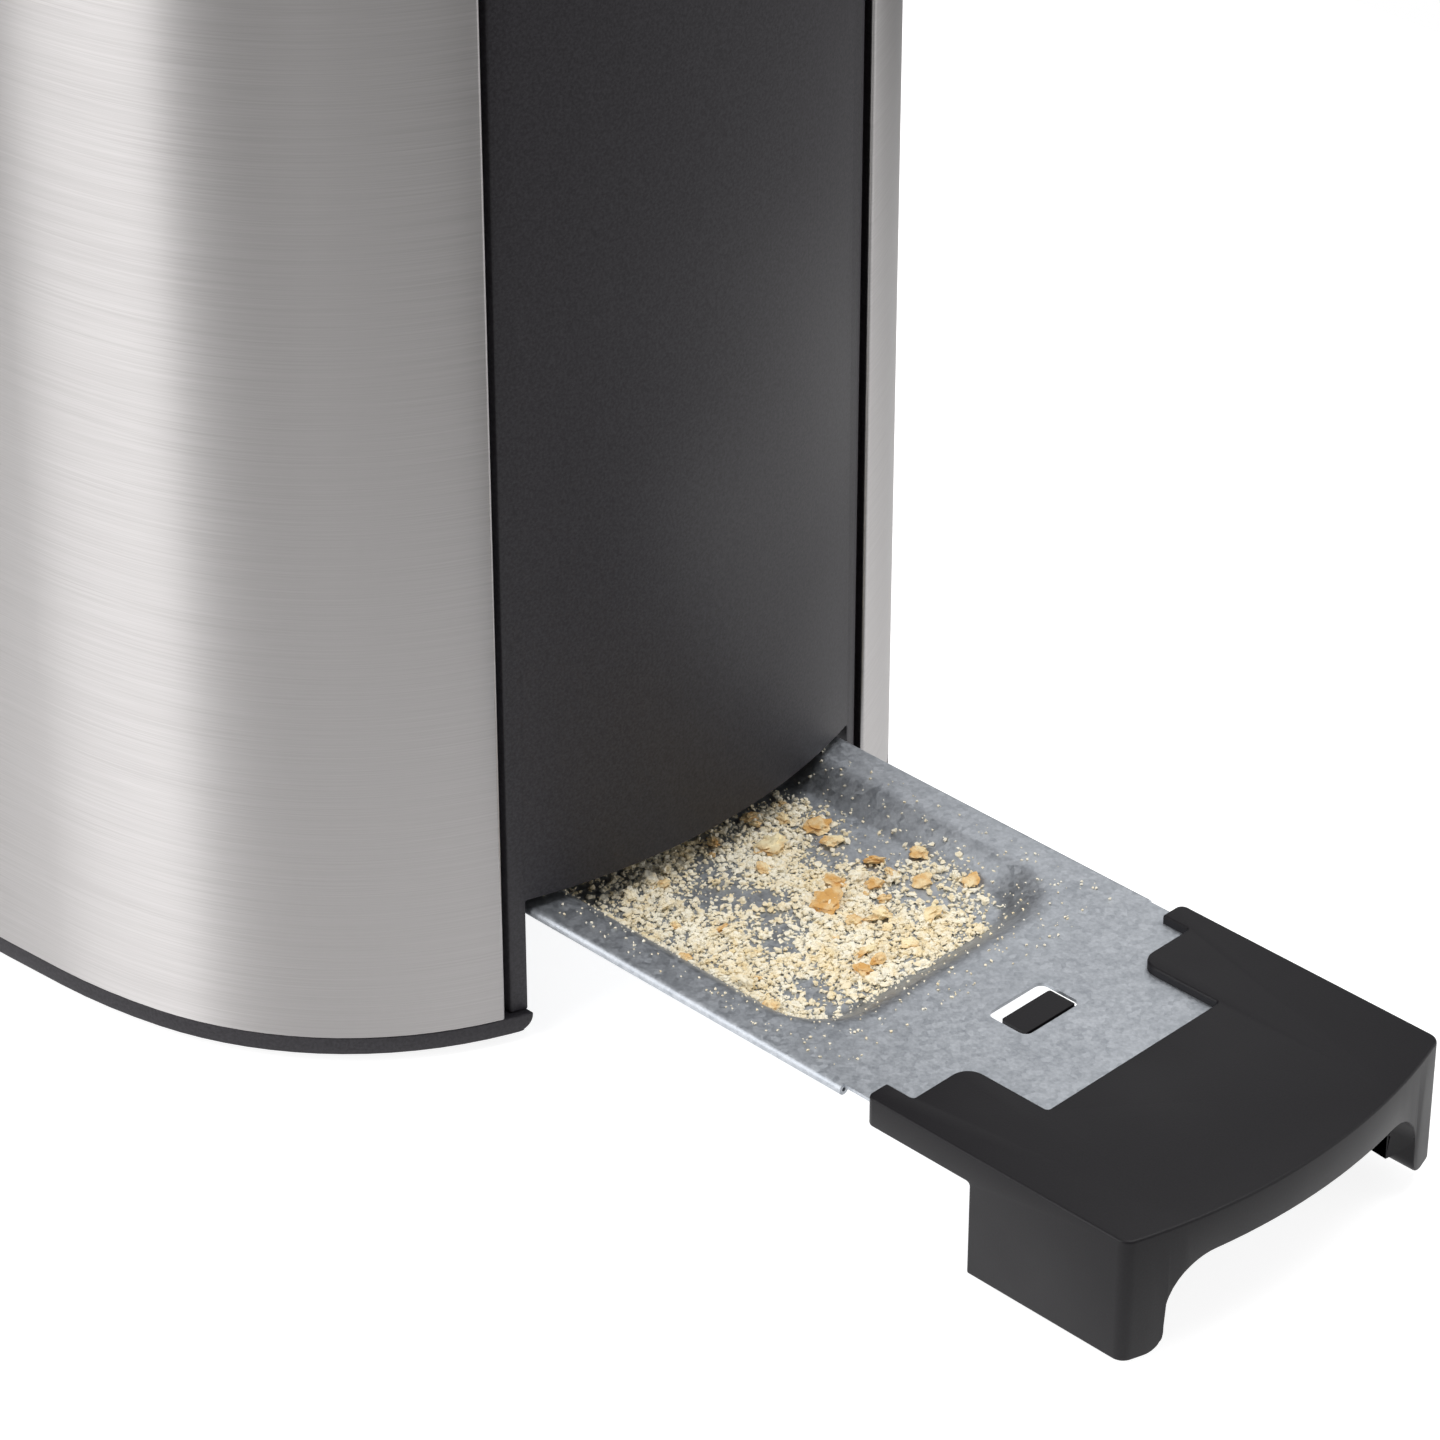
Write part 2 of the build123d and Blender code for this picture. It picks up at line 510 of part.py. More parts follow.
# ---------------------------------------------------------------- carriage
# Bracket, bush and lever arm slide on the rod. The racks lift the bread, and a spring pulls it all up.
PLATE_X, PLATE_THICK = -72.0, 1.2
PLATE_LOW, PLATE_HIGH = 108.0, 150.0
BUSH_RADIUS = 5.0
CORE_TOP = 54.0
ARMATURE_THICK = 3.0
ARMATURE_Z = CORE_TOP + LEVER_TRAVEL + 0.1

with BuildPart() as guide_rod:
    upright(ROD_X, 0, ROD_RADIUS, CAGE_BOTTOM - 2, UPPER_TAB + 3.5)
    chamfer(guide_rod.edges().filter_by(GeomType.CIRCLE), length=0.5)
guide_rod.part.label = "guide_rod"

with BuildPart() as carriage_bracket:
    block((PLATE_X, PLATE_X + PLATE_THICK), (-34, 34), (PLATE_LOW, PLATE_HIGH))
    for z, half in ((PLATE_LOW + 2, 9), (PLATE_HIGH - 2 - PLATE_THICK, TAB_HALF)):
        block((ROD_X - 7, PLATE_X), (-half, half), (z, z + PLATE_THICK))
    arm_z = ARMATURE_Z + ARMATURE_THICK
    block((MAGNET_X - 8, PLATE_X), (MAGNET_Y - 9, MAGNET_Y + 10), (arm_z, arm_z + PLATE_THICK))
    upright(ROD_X, 0, ROD_RADIUS + 0.6, PLATE_LOW, PLATE_HIGH, Mode.SUBTRACT)
carriage_bracket.part.label = "carriage_bracket"

with BuildPart() as carriage_bush:
    bush_low, bush_high = PLATE_LOW + 2 + PLATE_THICK, PLATE_HIGH - 2 - PLATE_THICK
    upright(ROD_X, 0, BUSH_RADIUS, bush_low, bush_high)
    upright(ROD_X, 0, ROD_RADIUS + 0.08, bush_low, bush_high, Mode.SUBTRACT)
carriage_bush.part.label = "carriage_bush"

with BuildPart() as armature_plate:
    block((MAGNET_X - 6, MAGNET_X + 6), (MAGNET_Y - 9, MAGNET_Y + 9),
          (ARMATURE_Z, ARMATURE_Z + ARMATURE_THICK))
armature_plate.part.label = "armature_plate"


def bread_rack(side):
    """A thin strip on edge with cross fingers that carry the slice."""
    with BuildPart() as rack:
        y = side * SLOT_Y
        block((PLATE_X + PLATE_THICK, CAGE_REAR + 5), (y - 0.6, y + 0.6), (RACK_Z, RACK_Z + 10))
        for index in range(9):
            x = -44.0 + 15 * index
            with Locations(Plane(origin=(x, y, RACK_Z + 9), z_dir=(0, 1, 0))):
                Cylinder(1.0, 24)
    return rack.part


bread_rack_left = bread_rack(1)
bread_rack_left.label = "bread_rack_left"
bread_rack_right = bread_rack(-1)
bread_rack_right.label = "bread_rack_right"

ARM_END = -150.0
ARM_THICK = 2.0
KNOB_BACK, KNOB_FRONT = -140.5, -158.0

with BuildPart() as lever_arm:
    block((ARM_END, PLATE_X), (LEVER_Y - ARM_THICK / 2, LEVER_Y + ARM_THICK / 2),
          (LEVER_Z - LEVER_HALF, LEVER_Z + LEVER_HALF))
lever_arm.part.label = "lever_arm"

with BuildPart() as lever_knob:
    with BuildSketch(Plane.XZ.offset(-LEVER_Y + 12)) as side_view:
        with Locations(((KNOB_BACK + KNOB_FRONT) / 2, LEVER_Z)):
            RectangleRounded(KNOB_BACK - KNOB_FRONT, 15, 5.5)
    extrude(side_view.sketch, amount=-24)
    fillet(lever_knob.edges().group_by(Axis.Y)[0] + lever_knob.edges().group_by(Axis.Y)[-1], radius=2.5)
    block((ARM_END, -130), (LEVER_Y - ARM_THICK / 2, LEVER_Y + ARM_THICK / 2),
          (LEVER_Z - LEVER_HALF, LEVER_Z + LEVER_HALF), Mode.SUBTRACT)
lever_knob.part.label = "lever_knob"

SPRING_Y, SPRING_RADIUS = 10.0, 3.0

with BuildPart() as lift_spring:
    upright(ROD_X, SPRING_Y, SPRING_RADIUS, PLATE_HIGH - 2, UPPER_TAB)
    upright(ROD_X, SPRING_Y, SPRING_RADIUS - 1.0, PLATE_HIGH - 2, UPPER_TAB, Mode.SUBTRACT)
lift_spring.part.label = "lift_spring"

# ---------------------------------------------------------------- electromagnet, board and controls
YOKE = (36.0, 40.0)
COIL_HALF = 7.2

with BuildPart() as magnet_core:
    x = (MAGNET_X - 5, MAGNET_X + 5)
    block(x, (MAGNET_Y - 10, MAGNET_Y + 10), YOKE)
    for side in (1, -1):
        block(x, sorted((MAGNET_Y + side * 6, MAGNET_Y + side * 10)), (TAB_TOP, CORE_TOP))
magnet_core.part.label = "magnet_core"

with BuildPart() as magnet_coil:
    middle = (YOKE[0] + YOKE[1]) / 2
    block((MAGNET_X - 8, MAGNET_X + 8), (MAGNET_Y - 5.9, MAGNET_Y + 5.9),
          (middle - COIL_HALF, middle + COIL_HALF))
    fillet(magnet_coil.edges().filter_by(Axis.Y), radius=2.5)
    block((MAGNET_X - 5.1, MAGNET_X + 5.1), (MAGNET_Y - 6, MAGNET_Y + 6), (YOKE[0] - 0.1, YOKE[1] + 0.1),
          Mode.SUBTRACT)
magnet_coil.part.label = "magnet_coil"

BOARD_X, BOARD_THICK = -118.0, 1.6
BOARD_Y, BOARD_Z = (-8.0, 31.0), (24.0, 128.0)
SWITCH_HALF, SWITCH_DEPTH, PLUNGER = 3.0, 3.5, 1.2
POT_RADIUS, POT_DEPTH = 8.5, 7.0

with BuildPart() as control_board:
    block((BOARD_X, BOARD_X + BOARD_THICK), BOARD_Y, BOARD_Z)
    fillet(control_board.edges().filter_by(Axis.X), radius=1.5)
control_board.part.label = "control_board"

with BuildPart() as board_bracket:
    back = BOARD_X + BOARD_THICK
    block((back, back + 1.2), (2, 24), (FLOOR_TOP, 60))
    block((back, back + 14), (2, 24), (FLOOR_TOP, FLOOR_TOP + 1.2))
board_bracket.part.label = "board_bracket"

with BuildPart() as button_switches:
    for z in BUTTON_ZS.values():
        block((BOARD_X - SWITCH_DEPTH, BOARD_X), (BUTTON_Y - SWITCH_HALF, BUTTON_Y + SWITCH_HALF),
              (z - SWITCH_HALF, z + SWITCH_HALF))
        along_x(BUTTON_Y, z, 1.6, BOARD_X - SWITCH_DEPTH - PLUNGER, BOARD_X - SWITCH_DEPTH)
button_switches.part.label = "button_switches"

with BuildPart() as potentiometer:
    along_x(0, DIAL_Z, POT_RADIUS, BOARD_X - POT_DEPTH, BOARD_X)
    block((BOARD_X - 5, BOARD_X), (-6, 6), (DIAL_Z - 11, DIAL_Z - 6))
potentiometer.part.label = "potentiometer"

DIAL_BACK, DIAL_FRONT, DIAL_RADIUS = DIAL_PAD_X - 0.5, -153.0, 16.5

with BuildPart() as dial_spindle:
    along_x(0, DIAL_Z, SPINDLE_RADIUS, DIAL_FRONT + 4, BOARD_X - POT_DEPTH - 0.1)
dial_spindle.part.label = "dial_spindle"

with BuildPart() as browning_knob:
    along_x(0, DIAL_Z, DIAL_RADIUS, DIAL_FRONT, DIAL_BACK)
    fillet(browning_knob.edges().group_by(Axis.X)[0], radius=2.0)
    for index in range(24):                    # grip flutes round the rim
        angle = 15.0 * index
        y, z = (DIAL_RADIUS + 0.6) * cos(radians(angle)), (DIAL_RADIUS + 0.6) * sin(radians(angle))
        along_x(y, DIAL_Z + z, 1.3, DIAL_FRONT - 1, DIAL_BACK - 2.5, Mode.SUBTRACT)
    block((DIAL_FRONT - 1, DIAL_FRONT + 0.8), (-0.7, 0.7), (DIAL_Z + 6, DIAL_Z + 14), Mode.SUBTRACT)
    along_x(0, DIAL_Z, SPINDLE_RADIUS, DIAL_FRONT + 4, DIAL_BACK + 1, Mode.SUBTRACT)
browning_knob.part.label = "browning_knob"

BUTTON_FRONT, BUTTON_FLANGE, BUTTON_END = -140.0, -130.4, -126.0


def push_button(z):
    """A round button cap with a collar that keeps it in the panel and a stem that works the switch."""
    with BuildPart() as button:
        along_x(BUTTON_Y, z, BUTTON_RADIUS, BUTTON_FRONT, BUTTON_FLANGE + 1.4)
        fillet(button.edges().group_by(Axis.X)[0], radius=0.8)
        along_x(BUTTON_Y, z, BUTTON_RADIUS + 1.2, BUTTON_FLANGE, BUTTON_FLANGE + 1.4)
        along_x(BUTTON_Y, z, 2.0, BUTTON_FLANGE, BUTTON_END)
    return button.part


buttons = {name: push_button(z) for name, z in BUTTON_ZS.items()}

with BuildPart() as terminal_block:
    block((-116, -102), (-38, -22), (FLOOR_TOP, 16))
    fillet(terminal_block.edges().filter_by(Axis.Z), radius=1.0)
    for y in (-35, -30, -25):
        upright(-109, y, 1.6, 12, 16, Mode.SUBTRACT)
        along_x(y, 8, 1.5, -112, -102, Mode.SUBTRACT)
terminal_block.part.label = "terminal_block"

GLAND_BORE = 3.5

with BuildPart() as cord_gland:
    along_x(GLAND_Y, GLAND_Z, 7.0, GLAND_PAD_X - 2, GLAND_PAD_X)
    fillet(cord_gland.edges().group_by(Axis.X)[0], radius=1.0)
    along_x(GLAND_Y, GLAND_Z, GLAND_NECK, GLAND_PAD_X, -125.6)
    along_x(GLAND_Y, GLAND_Z, 6.4, -127.4, -125.6)
    along_x(GLAND_Y, GLAND_Z, GLAND_BORE, GLAND_PAD_X - 3, -125, Mode.SUBTRACT)
cord_gland.part.label = "cord_gland"

# ---------------------------------------------------------------- crumb tray and its handle
# Drawn pulled out, on a plane that carries the pushed-in places out along +X.
TRAY = Plane(origin=(TRAY_PULL, 0, 0))
ROLL_END, NECK_HALF = 69.6, 36.4               # the rolled edges stop here and the sheet narrows
PAN_OUT, PAN_IN = 60.8, -88.0                  # ends of the pan at its top
PAN_TOP_HALF, PAN_FLOOR_HALF = 31.5, 25.0
PAN_RAMP, PAN_DEPTH = 8.6, 4.5
HOLE = (72.6, 81.3)
HOLE_HALF, HOLE_ROUND = 6.6, 1.5
ARM_TIP, RAIL_TIP = 81.3, 75.6
CUT_HALF, CUT_END = 20.5, 98.3
HANDLE_HALF, HANDLE_TOP = 37.8, 26.6
RAIL_INNER, RAIL_BOTTOM = 33.0, 21.1
CLAMP_BOTTOM = 22.8
LEG_BACK, LEG_HALF, LEG_BOTTOM = 97.6, 30.3, 3.6
BAND_BOTTOM, BAND_THICK = 19.0, 5.0
ARCH_ROUND, LEG_ROUND, TIP_ROUND = 9.0, 3.5, 3.5
FRONT_ROUND, RAIL_ROUND = 2.5, 1.5


def pan_loft(top, mode):
    """Sloping-sided pan from its rim at top down by its depth, in the open part."""
    length, middle = PAN_OUT - PAN_IN, (PAN_OUT + PAN_IN) / 2
    with BuildSketch(TRAY.offset(top)) as rim:
        with Locations((middle, 0)):
            RectangleRounded(length, 2 * PAN_TOP_HALF, 15)
    with BuildSketch(TRAY.offset(top - PAN_DEPTH)) as floor:
        with Locations((middle, 0)):
            RectangleRounded(length - 2 * PAN_RAMP, 2 * PAN_FLOOR_HALF, 8.5)
    loft([rim.sketch, floor.sketch], mode=mode)


with BuildPart(TRAY) as crumb_tray:
    sheet_z = (TRAY_TOP - TRAY_SHEET, TRAY_TOP)
    block((TRAY_INNER, ROLL_END), (-NECK_HALF, NECK_HALF), sheet_z)
    with BuildSketch(TRAY.offset(sheet_z[0])) as tongue:
        with Locations(((ROLL_END + TRAY_OUTER) / 2, 0)):
            Rectangle(TRAY_OUTER - ROLL_END, 2 * NECK_HALF)
    extrude(tongue.sketch, amount=TRAY_SHEET)
    for side in (1, -1):
        along_x(side * NECK_HALF, TRAY_TOP - 1, 1.0, TRAY_INNER, ROLL_END)
    pan_loft(TRAY_TOP - TRAY_SHEET, Mode.ADD)
    pan_loft(TRAY_TOP, Mode.SUBTRACT)
    with BuildSketch(TRAY.offset(TRAY_TOP)) as hole:
        with Locations(((HOLE[0] + HOLE[1]) / 2, 0)):
            RectangleRounded(HOLE[1] - HOLE[0], 2 * HOLE_HALF, HOLE_ROUND)
    extrude(hole.sketch, amount=-1, mode=Mode.SUBTRACT)
crumb_tray.part.label = "crumb_tray"

with BuildPart(TRAY) as tray_handle:
    # front seen end on: a band with a leg at each side and a finger arch between them
    with BuildSketch(Plane.YZ.offset(TRAY_PULL + LEG_BACK)) as arch:
        with Locations((0, (HANDLE_TOP + LEG_BOTTOM) / 2)):
            Rectangle(2 * HANDLE_HALF, HANDLE_TOP - LEG_BOTTOM)
        with Locations((0, (BAND_BOTTOM + LEG_BOTTOM) / 2)):
            Rectangle(2 * LEG_HALF, BAND_BOTTOM - LEG_BOTTOM, mode=Mode.SUBTRACT)
        inner = arch.vertices().filter_by(lambda v: abs(abs(v.X) - LEG_HALF) < 0.01)
        fillet(inner.group_by(Axis.Y)[-1], radius=ARCH_ROUND)
        fillet(arch.vertices().group_by(Axis.Y)[0].filter_by(
            lambda v: abs(abs(v.X) - LEG_HALF) < 0.01), radius=LEG_ROUND)
    extrude(arch.sketch, amount=60)
    # plate on top, with its two arms and the side rails that grip the sheet
    with BuildSketch(TRAY.offset(TRAY_TOP)) as plate:
        with Locations(((ARM_TIP + LEG_BACK + 20) / 2, 0)):
            Rectangle(LEG_BACK + 20 - ARM_TIP, 2 * HANDLE_HALF)
    extrude(plate.sketch, amount=HANDLE_TOP - TRAY_TOP)
    for side in (1, -1):
        block((RAIL_TIP, LEG_BACK + 1), mirrored((RAIL_INNER, HANDLE_HALF), side),
              (RAIL_BOTTOM, HANDLE_TOP))
    block((ARM_TIP, LEG_BACK + 1), (-HANDLE_HALF + 1, HANDLE_HALF - 1), (CLAMP_BOTTOM, TRAY_TOP))
    with BuildSketch(TRAY.offset(HANDLE_TOP)) as cut:
        with Locations(((CUT_END + 60) / 2, 0)):
            RectangleRounded(CUT_END - 60, 2 * CUT_HALF, 0.6)
    extrude(cut.sketch, amount=-(HANDLE_TOP - TRAY_TOP), mode=Mode.SUBTRACT)
    tips = tray_handle.edges().filter_by(Axis.Z).filter_by(
        lambda edge: abs(edge.center().X - ARM_TIP - TRAY_PULL) < 0.01
        and abs(abs(edge.center().Y) - CUT_HALF) < 0.01 and edge.center().Z > TRAY_TOP)
    fillet(tips, radius=TIP_ROUND)
    # finger hollow behind the band, up to the clamp plate
    with BuildSketch(TRAY.offset(CLAMP_BOTTOM)) as hollow:
        add(plan(BAND_THICK))
        with Locations(((LEG_BACK + 140) / 2, 0)):
            Rectangle(140 - LEG_BACK, 2 * LEG_HALF, mode=Mode.INTERSECT)
    extrude(hollow.sketch, amount=-30, mode=Mode.SUBTRACT)
    # the bowed front follows the end panel
    with BuildSketch(TRAY) as outline:
        add(plan(0.1))
    extrude(outline.sketch, amount=60, mode=Mode.INTERSECT)
    sides = tray_handle.edges().filter_by(Axis.Z).filter_by(
        lambda edge: abs(abs(edge.center().Y) - HANDLE_HALF) < 0.01)
    fillet(sides.group_by(Axis.X)[-1], radius=FRONT_ROUND)
    fillet(sides.group_by(Axis.X)[0], radius=RAIL_ROUND)
    # room for the sheet
    block((60, TRAY_OUTER), (-NECK_HALF, NECK_HALF), (TRAY_TOP - TRAY_SHEET, TRAY_TOP), Mode.SUBTRACT)
    # hook that snaps up into the sheet's hole
    block((HOLE[0] + 2.6, ARM_TIP + 2), (-HOLE_HALF + 0.8, HOLE_HALF - 0.8),
          (CLAMP_BOTTOM, TRAY_TOP - TRAY_SHEET))
    block((HOLE[0] + 2.6, HOLE[1] - 0.7), (-HOLE_HALF + 0.8, HOLE_HALF - 0.8), (CLAMP_BOTTOM, TRAY_TOP - 0.1))
tray_handle.part.label = "tray_handle"

# ---------------------------------------------------------------- files
PARTS = [base.part, rubber_feet.part, base_screws.part, panel_screws.part, shell_left, shell_right,
         rear_panel.part, front_panel.part, top_cover.part, slot_trim_left, slot_trim_right,
         bulkhead_front.part, bulkhead_rear.part, reflector_left, reflector_right, top_frame.part,
         tray_guide_left, tray_guide_right, guide_rod.part, carriage_bracket.part, carriage_bush.part,
         armature_plate.part, bread_rack_left, bread_rack_right, lever_arm.part, lever_knob.part,
         lift_spring.part, magnet_core.part, magnet_coil.part, control_board.part, board_bracket.part,
         button_switches.part, potentiometer.part, dial_spindle.part, browning_knob.part,
         terminal_block.part, cord_gland.part, crumb_tray.part, tray_handle.part]
for group in (cards, windings, guards, buttons):
    for name, piece in group.items():
        piece.label = name
        PARTS.append(piece)

os.makedirs("parts", exist_ok=True)
for piece in PARTS:
    export_step(piece, f"parts/{piece.label}.step")
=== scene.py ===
import bpy
import json
import random
from math import atan2, cos, degrees, exp, hypot, pi, radians, sin
from mathutils import Matrix, Vector, noise

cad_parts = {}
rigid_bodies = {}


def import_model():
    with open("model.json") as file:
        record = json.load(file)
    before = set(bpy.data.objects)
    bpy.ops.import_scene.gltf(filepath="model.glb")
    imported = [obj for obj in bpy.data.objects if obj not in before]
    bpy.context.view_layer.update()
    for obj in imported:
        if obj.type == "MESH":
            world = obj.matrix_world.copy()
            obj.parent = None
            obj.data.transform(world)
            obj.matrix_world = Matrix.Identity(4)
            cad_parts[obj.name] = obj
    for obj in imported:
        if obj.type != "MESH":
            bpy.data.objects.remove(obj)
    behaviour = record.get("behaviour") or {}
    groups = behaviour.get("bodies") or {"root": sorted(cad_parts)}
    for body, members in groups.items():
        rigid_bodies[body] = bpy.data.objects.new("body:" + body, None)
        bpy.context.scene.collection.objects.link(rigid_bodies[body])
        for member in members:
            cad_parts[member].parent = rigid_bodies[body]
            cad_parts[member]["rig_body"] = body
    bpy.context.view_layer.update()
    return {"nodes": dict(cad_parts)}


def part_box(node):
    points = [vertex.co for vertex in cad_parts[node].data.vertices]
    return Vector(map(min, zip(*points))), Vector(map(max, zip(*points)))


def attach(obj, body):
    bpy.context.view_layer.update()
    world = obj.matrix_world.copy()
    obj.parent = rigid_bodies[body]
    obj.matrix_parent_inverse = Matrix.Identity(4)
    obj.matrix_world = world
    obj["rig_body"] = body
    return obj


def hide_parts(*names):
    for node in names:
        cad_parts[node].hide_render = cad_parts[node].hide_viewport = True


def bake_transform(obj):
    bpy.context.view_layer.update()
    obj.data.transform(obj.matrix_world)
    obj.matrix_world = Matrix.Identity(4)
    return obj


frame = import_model()
bpy.ops.object.select_all(action="DESELECT")
MM = 0.001

# ---------------------------------------------------------------- studio
# The toaster stands on a sheet of white paper under soft light. A tall softbox on its -Y side draws the
# bright band down the near shell, one beside the tray end lights the end panel, and one overhead and one
# behind light the tray. A dim room fills the rest; it shows white behind the toaster.
CAMERA_PLACE = Vector((675.4, -544.2, 529.8)) * MM
CAMERA_TURN, CAMERA_TILT = 44.78, 32.13
CAMERA_LENS = 136.2
PAPER_SIZE = 0.76
PAPER_GREY, PAPER_GLOW = 0.45, 0.85
ROOM_LIGHT = 0.2
BODY_SPOT, END_SPOT, TRAY_SPOT = (0, 0, 0.1), (0.1, 0, 0.1), (0.15, 0, 0)

bpy.context.scene.view_settings.view_transform = "Standard"
camera = bpy.data.objects.new("camera", bpy.data.cameras.new("camera"))
camera.location = CAMERA_PLACE
camera.rotation_euler = (radians(90 - CAMERA_TILT), 0, radians(CAMERA_TURN))
camera.data.lens = CAMERA_LENS
camera.data.sensor_width = 36.0
camera.data.clip_start = 0.01
bpy.context.scene.collection.objects.link(camera)
bpy.context.scene.camera = camera


def around(turn, away, height):
    """A place turned about the toaster from +X by degrees, so many metres away and high."""
    return away * cos(radians(turn)), away * sin(radians(turn)), height


def softbox(name, place, target, size, power):
    """A rectangular lamp at place, facing target."""
    lamp = bpy.data.lights.new(name, "AREA")
    lamp.shape = "RECTANGLE"
    lamp.size, lamp.size_y = size
    lamp.energy = power
    box = bpy.data.objects.new(name, lamp)
    box.location = place
    box.rotation_euler = (Vector(target) - Vector(place)).to_track_quat("-Z", "Y").to_euler()
    bpy.context.scene.collection.objects.link(box)


softbox("band_light", around(-103.0, 1.25, 0.75), BODY_SPOT, (0.95, 1.5), 19.0)
softbox("top_light", (0.3, 0.4, 1.65), TRAY_SPOT, (1.1, 1.1), 18.5)
softbox("back_light", (-0.95, 0.95, 0.95), TRAY_SPOT, (1.3, 1.0), 2.4)
softbox("end_light", around(44.0, 1.35, 0.5), END_SPOT, (1.9, 1.0), 7.2)

world = bpy.data.worlds.new("studio_room")
bpy.context.scene.world = world
world.use_nodes = True
room = world.node_tree.nodes["Background"]
room.inputs["Color"].default_value = (1, 1, 1, 1)
seen = world.node_tree.nodes.new("ShaderNodeLightPath")
brightness = world.node_tree.nodes.new("ShaderNodeMapRange")
brightness.inputs["To Min"].default_value = ROOM_LIGHT
world.node_tree.links.new(seen.outputs["Is Camera Ray"], brightness.inputs["Value"])
world.node_tree.links.new(brightness.outputs["Result"], room.inputs["Strength"])


class Value:
    """One output of a material node, with arithmetic that adds Math nodes."""

    def __init__(self, finish, socket):
        self.finish = finish
        self.socket = socket

    def maths(self, operation, first, second):
        return self.finish.node("ShaderNodeMath", {"operation": operation}, {0: first, 1: second})

    def __add__(self, other):
        return self.maths("ADD", self, other)

    def __mul__(self, other):
        return self.maths("MULTIPLY", self, other)

    def __gt__(self, other):
        return self.maths("GREATER_THAN", self, other)


class Finish:
    """A material: constants on its shader, and nodes on the piece's own coordinates for what varies."""

    def __init__(self, name, constants):
        self.material = bpy.data.materials.new(name)
        self.material.use_nodes = True
        self.tree = self.material.node_tree
        self.shader = self.tree.nodes["Principled BSDF"]
        self.place = self.node("ShaderNodeTexCoord", output="Object")
        self.set(constants)

    def feed(self, socket, value):
        if isinstance(value, Value):
            self.tree.links.new(value.socket, socket)
        elif socket.type == "RGBA":
            socket.default_value = (*value, 1)
        else:
            socket.default_value = value

    def set(self, values):
        for name, value in values.items():
            self.feed(self.shader.inputs[name], value)

    def node(self, kind, settings=None, inputs=None, output=0):
        made = self.tree.nodes.new(kind)
        for name, value in (settings or {}).items():
            setattr(made, name, value)
        for name, value in (inputs or {}).items():
            self.feed(made.inputs[name], value)
        return Value(self, made.outputs[output])

    def stretched(self, stretch):
        return self.node("ShaderNodeVectorMath", {"operation": "MULTIPLY"}, {0: self.place, 1: stretch})

    def noise(self, scale, stretch=(1, 1, 1), detail=2.0, roughness=0.5):
        """Noise whose features are about 1/scale metres across, from about 0.3 to 0.7."""
        return self.node("ShaderNodeTexNoise", None, {
            "Vector": self.stretched(stretch), "Scale": scale, "Detail": detail, "Roughness": roughness})

    def cells(self, scale, output="Color"):
        """Flat patches about 1/scale metres across, each with its own value."""
        return self.node("ShaderNodeTexVoronoi", None, {"Vector": self.place, "Scale": scale}, output)

    def ranged(self, value, low, high, to_low=0.0, to_high=1.0):
        return self.node("ShaderNodeMapRange", None,
                         {0: value, 1: low, 2: high, 3: to_low, 4: to_high})

    def mix(self, factor, first, second):
        return self.node("ShaderNodeMix", {"data_type": "RGBA"}, {0: factor, 6: first, 7: second}, 2)

    def bump(self, height, strength, distance):
        return self.node("ShaderNodeBump", None,
                         {"Strength": strength, "Distance": distance, "Height": height})

    def onto(self, *pieces):
        for piece in pieces:
            if not piece.material_slots:
                piece.data.materials.append(self.material)
            for slot in piece.material_slots:
                slot.material = self.material


bpy.ops.mesh.primitive_plane_add(size=PAPER_SIZE)
paper = bpy.context.object
paper.name = "paper_floor"
white_paper = Finish("white_paper", {
    "Base Color": (PAPER_GREY, PAPER_GREY, PAPER_GREY), "Roughness": 0.9, "Specular IOR Level": 0.0,
    "Emission Color": (1, 1, 1), "Emission Strength": PAPER_GLOW})
white_paper.onto(paper)


# ---------------------------------------------------------------- side shells
# Each side of the body is one sheet of stainless steel, brushed along its length, wrapped round the
# corners and turned in at the end panels. It hooks over the base's rim and under the top cover.
WELD, FLAT_ENOUGH = 0.002 * MM, radians(0.3)
SHARP, ROUND_STEPS = radians(30), 3


def whole_copy(node, name, round_off=0.0, spared=(0, 0)):
    """A piece that stands for a CAD node: its mesh merged to whole faces, its sharp edges rounded.

    Edges that lie wholly between the two spared heights stay sharp.
    """
    piece = bpy.data.objects.new(name, frame["nodes"][node].data.copy())
    bpy.context.scene.collection.objects.link(piece)
    bpy.ops.object.select_all(action="DESELECT")
    bpy.context.view_layer.objects.active = piece
    piece.select_set(True)
    bpy.ops.mesh.customdata_custom_splitnormals_clear()
    bpy.ops.object.mode_set(mode="EDIT")
    bpy.ops.mesh.select_all(action="SELECT")
    bpy.ops.mesh.remove_doubles(threshold=WELD)
    bpy.ops.mesh.dissolve_limited(angle_limit=FLAT_ENOUGH)
    bpy.ops.object.mode_set(mode="OBJECT")
    if round_off:
        normals = {}
        for face in piece.data.polygons:
            for edge in face.edge_keys:
                normals.setdefault(edge, []).append(face.normal)
        weight = piece.data.attributes.new("bevel_weight_edge", "FLOAT", "EDGE")
        for edge in piece.data.edges:
            heights = [piece.data.vertices[end].co.z for end in edge.vertices]
            spare = spared[0] < min(heights) and max(heights) < spared[1]
            pair = normals[edge.key]
            if len(pair) == 2 and pair[0].angle(pair[1]) > SHARP and not spare:
                weight.data[edge.index].value = 1
        rounding = piece.modifiers.new("rounding", "BEVEL")
        rounding.width = round_off
        rounding.segments = ROUND_STEPS
        rounding.limit_method = "WEIGHT"
        rounding.miter_outer = "MITER_ARC"
        rounding.use_clamp_overlap = False
        bpy.ops.object.modifier_apply(modifier="rounding")
    bpy.ops.object.shade_smooth_by_angle(angle=SHARP)
    body = frame["nodes"][node]["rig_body"]
    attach(piece, body)
    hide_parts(node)
    return piece


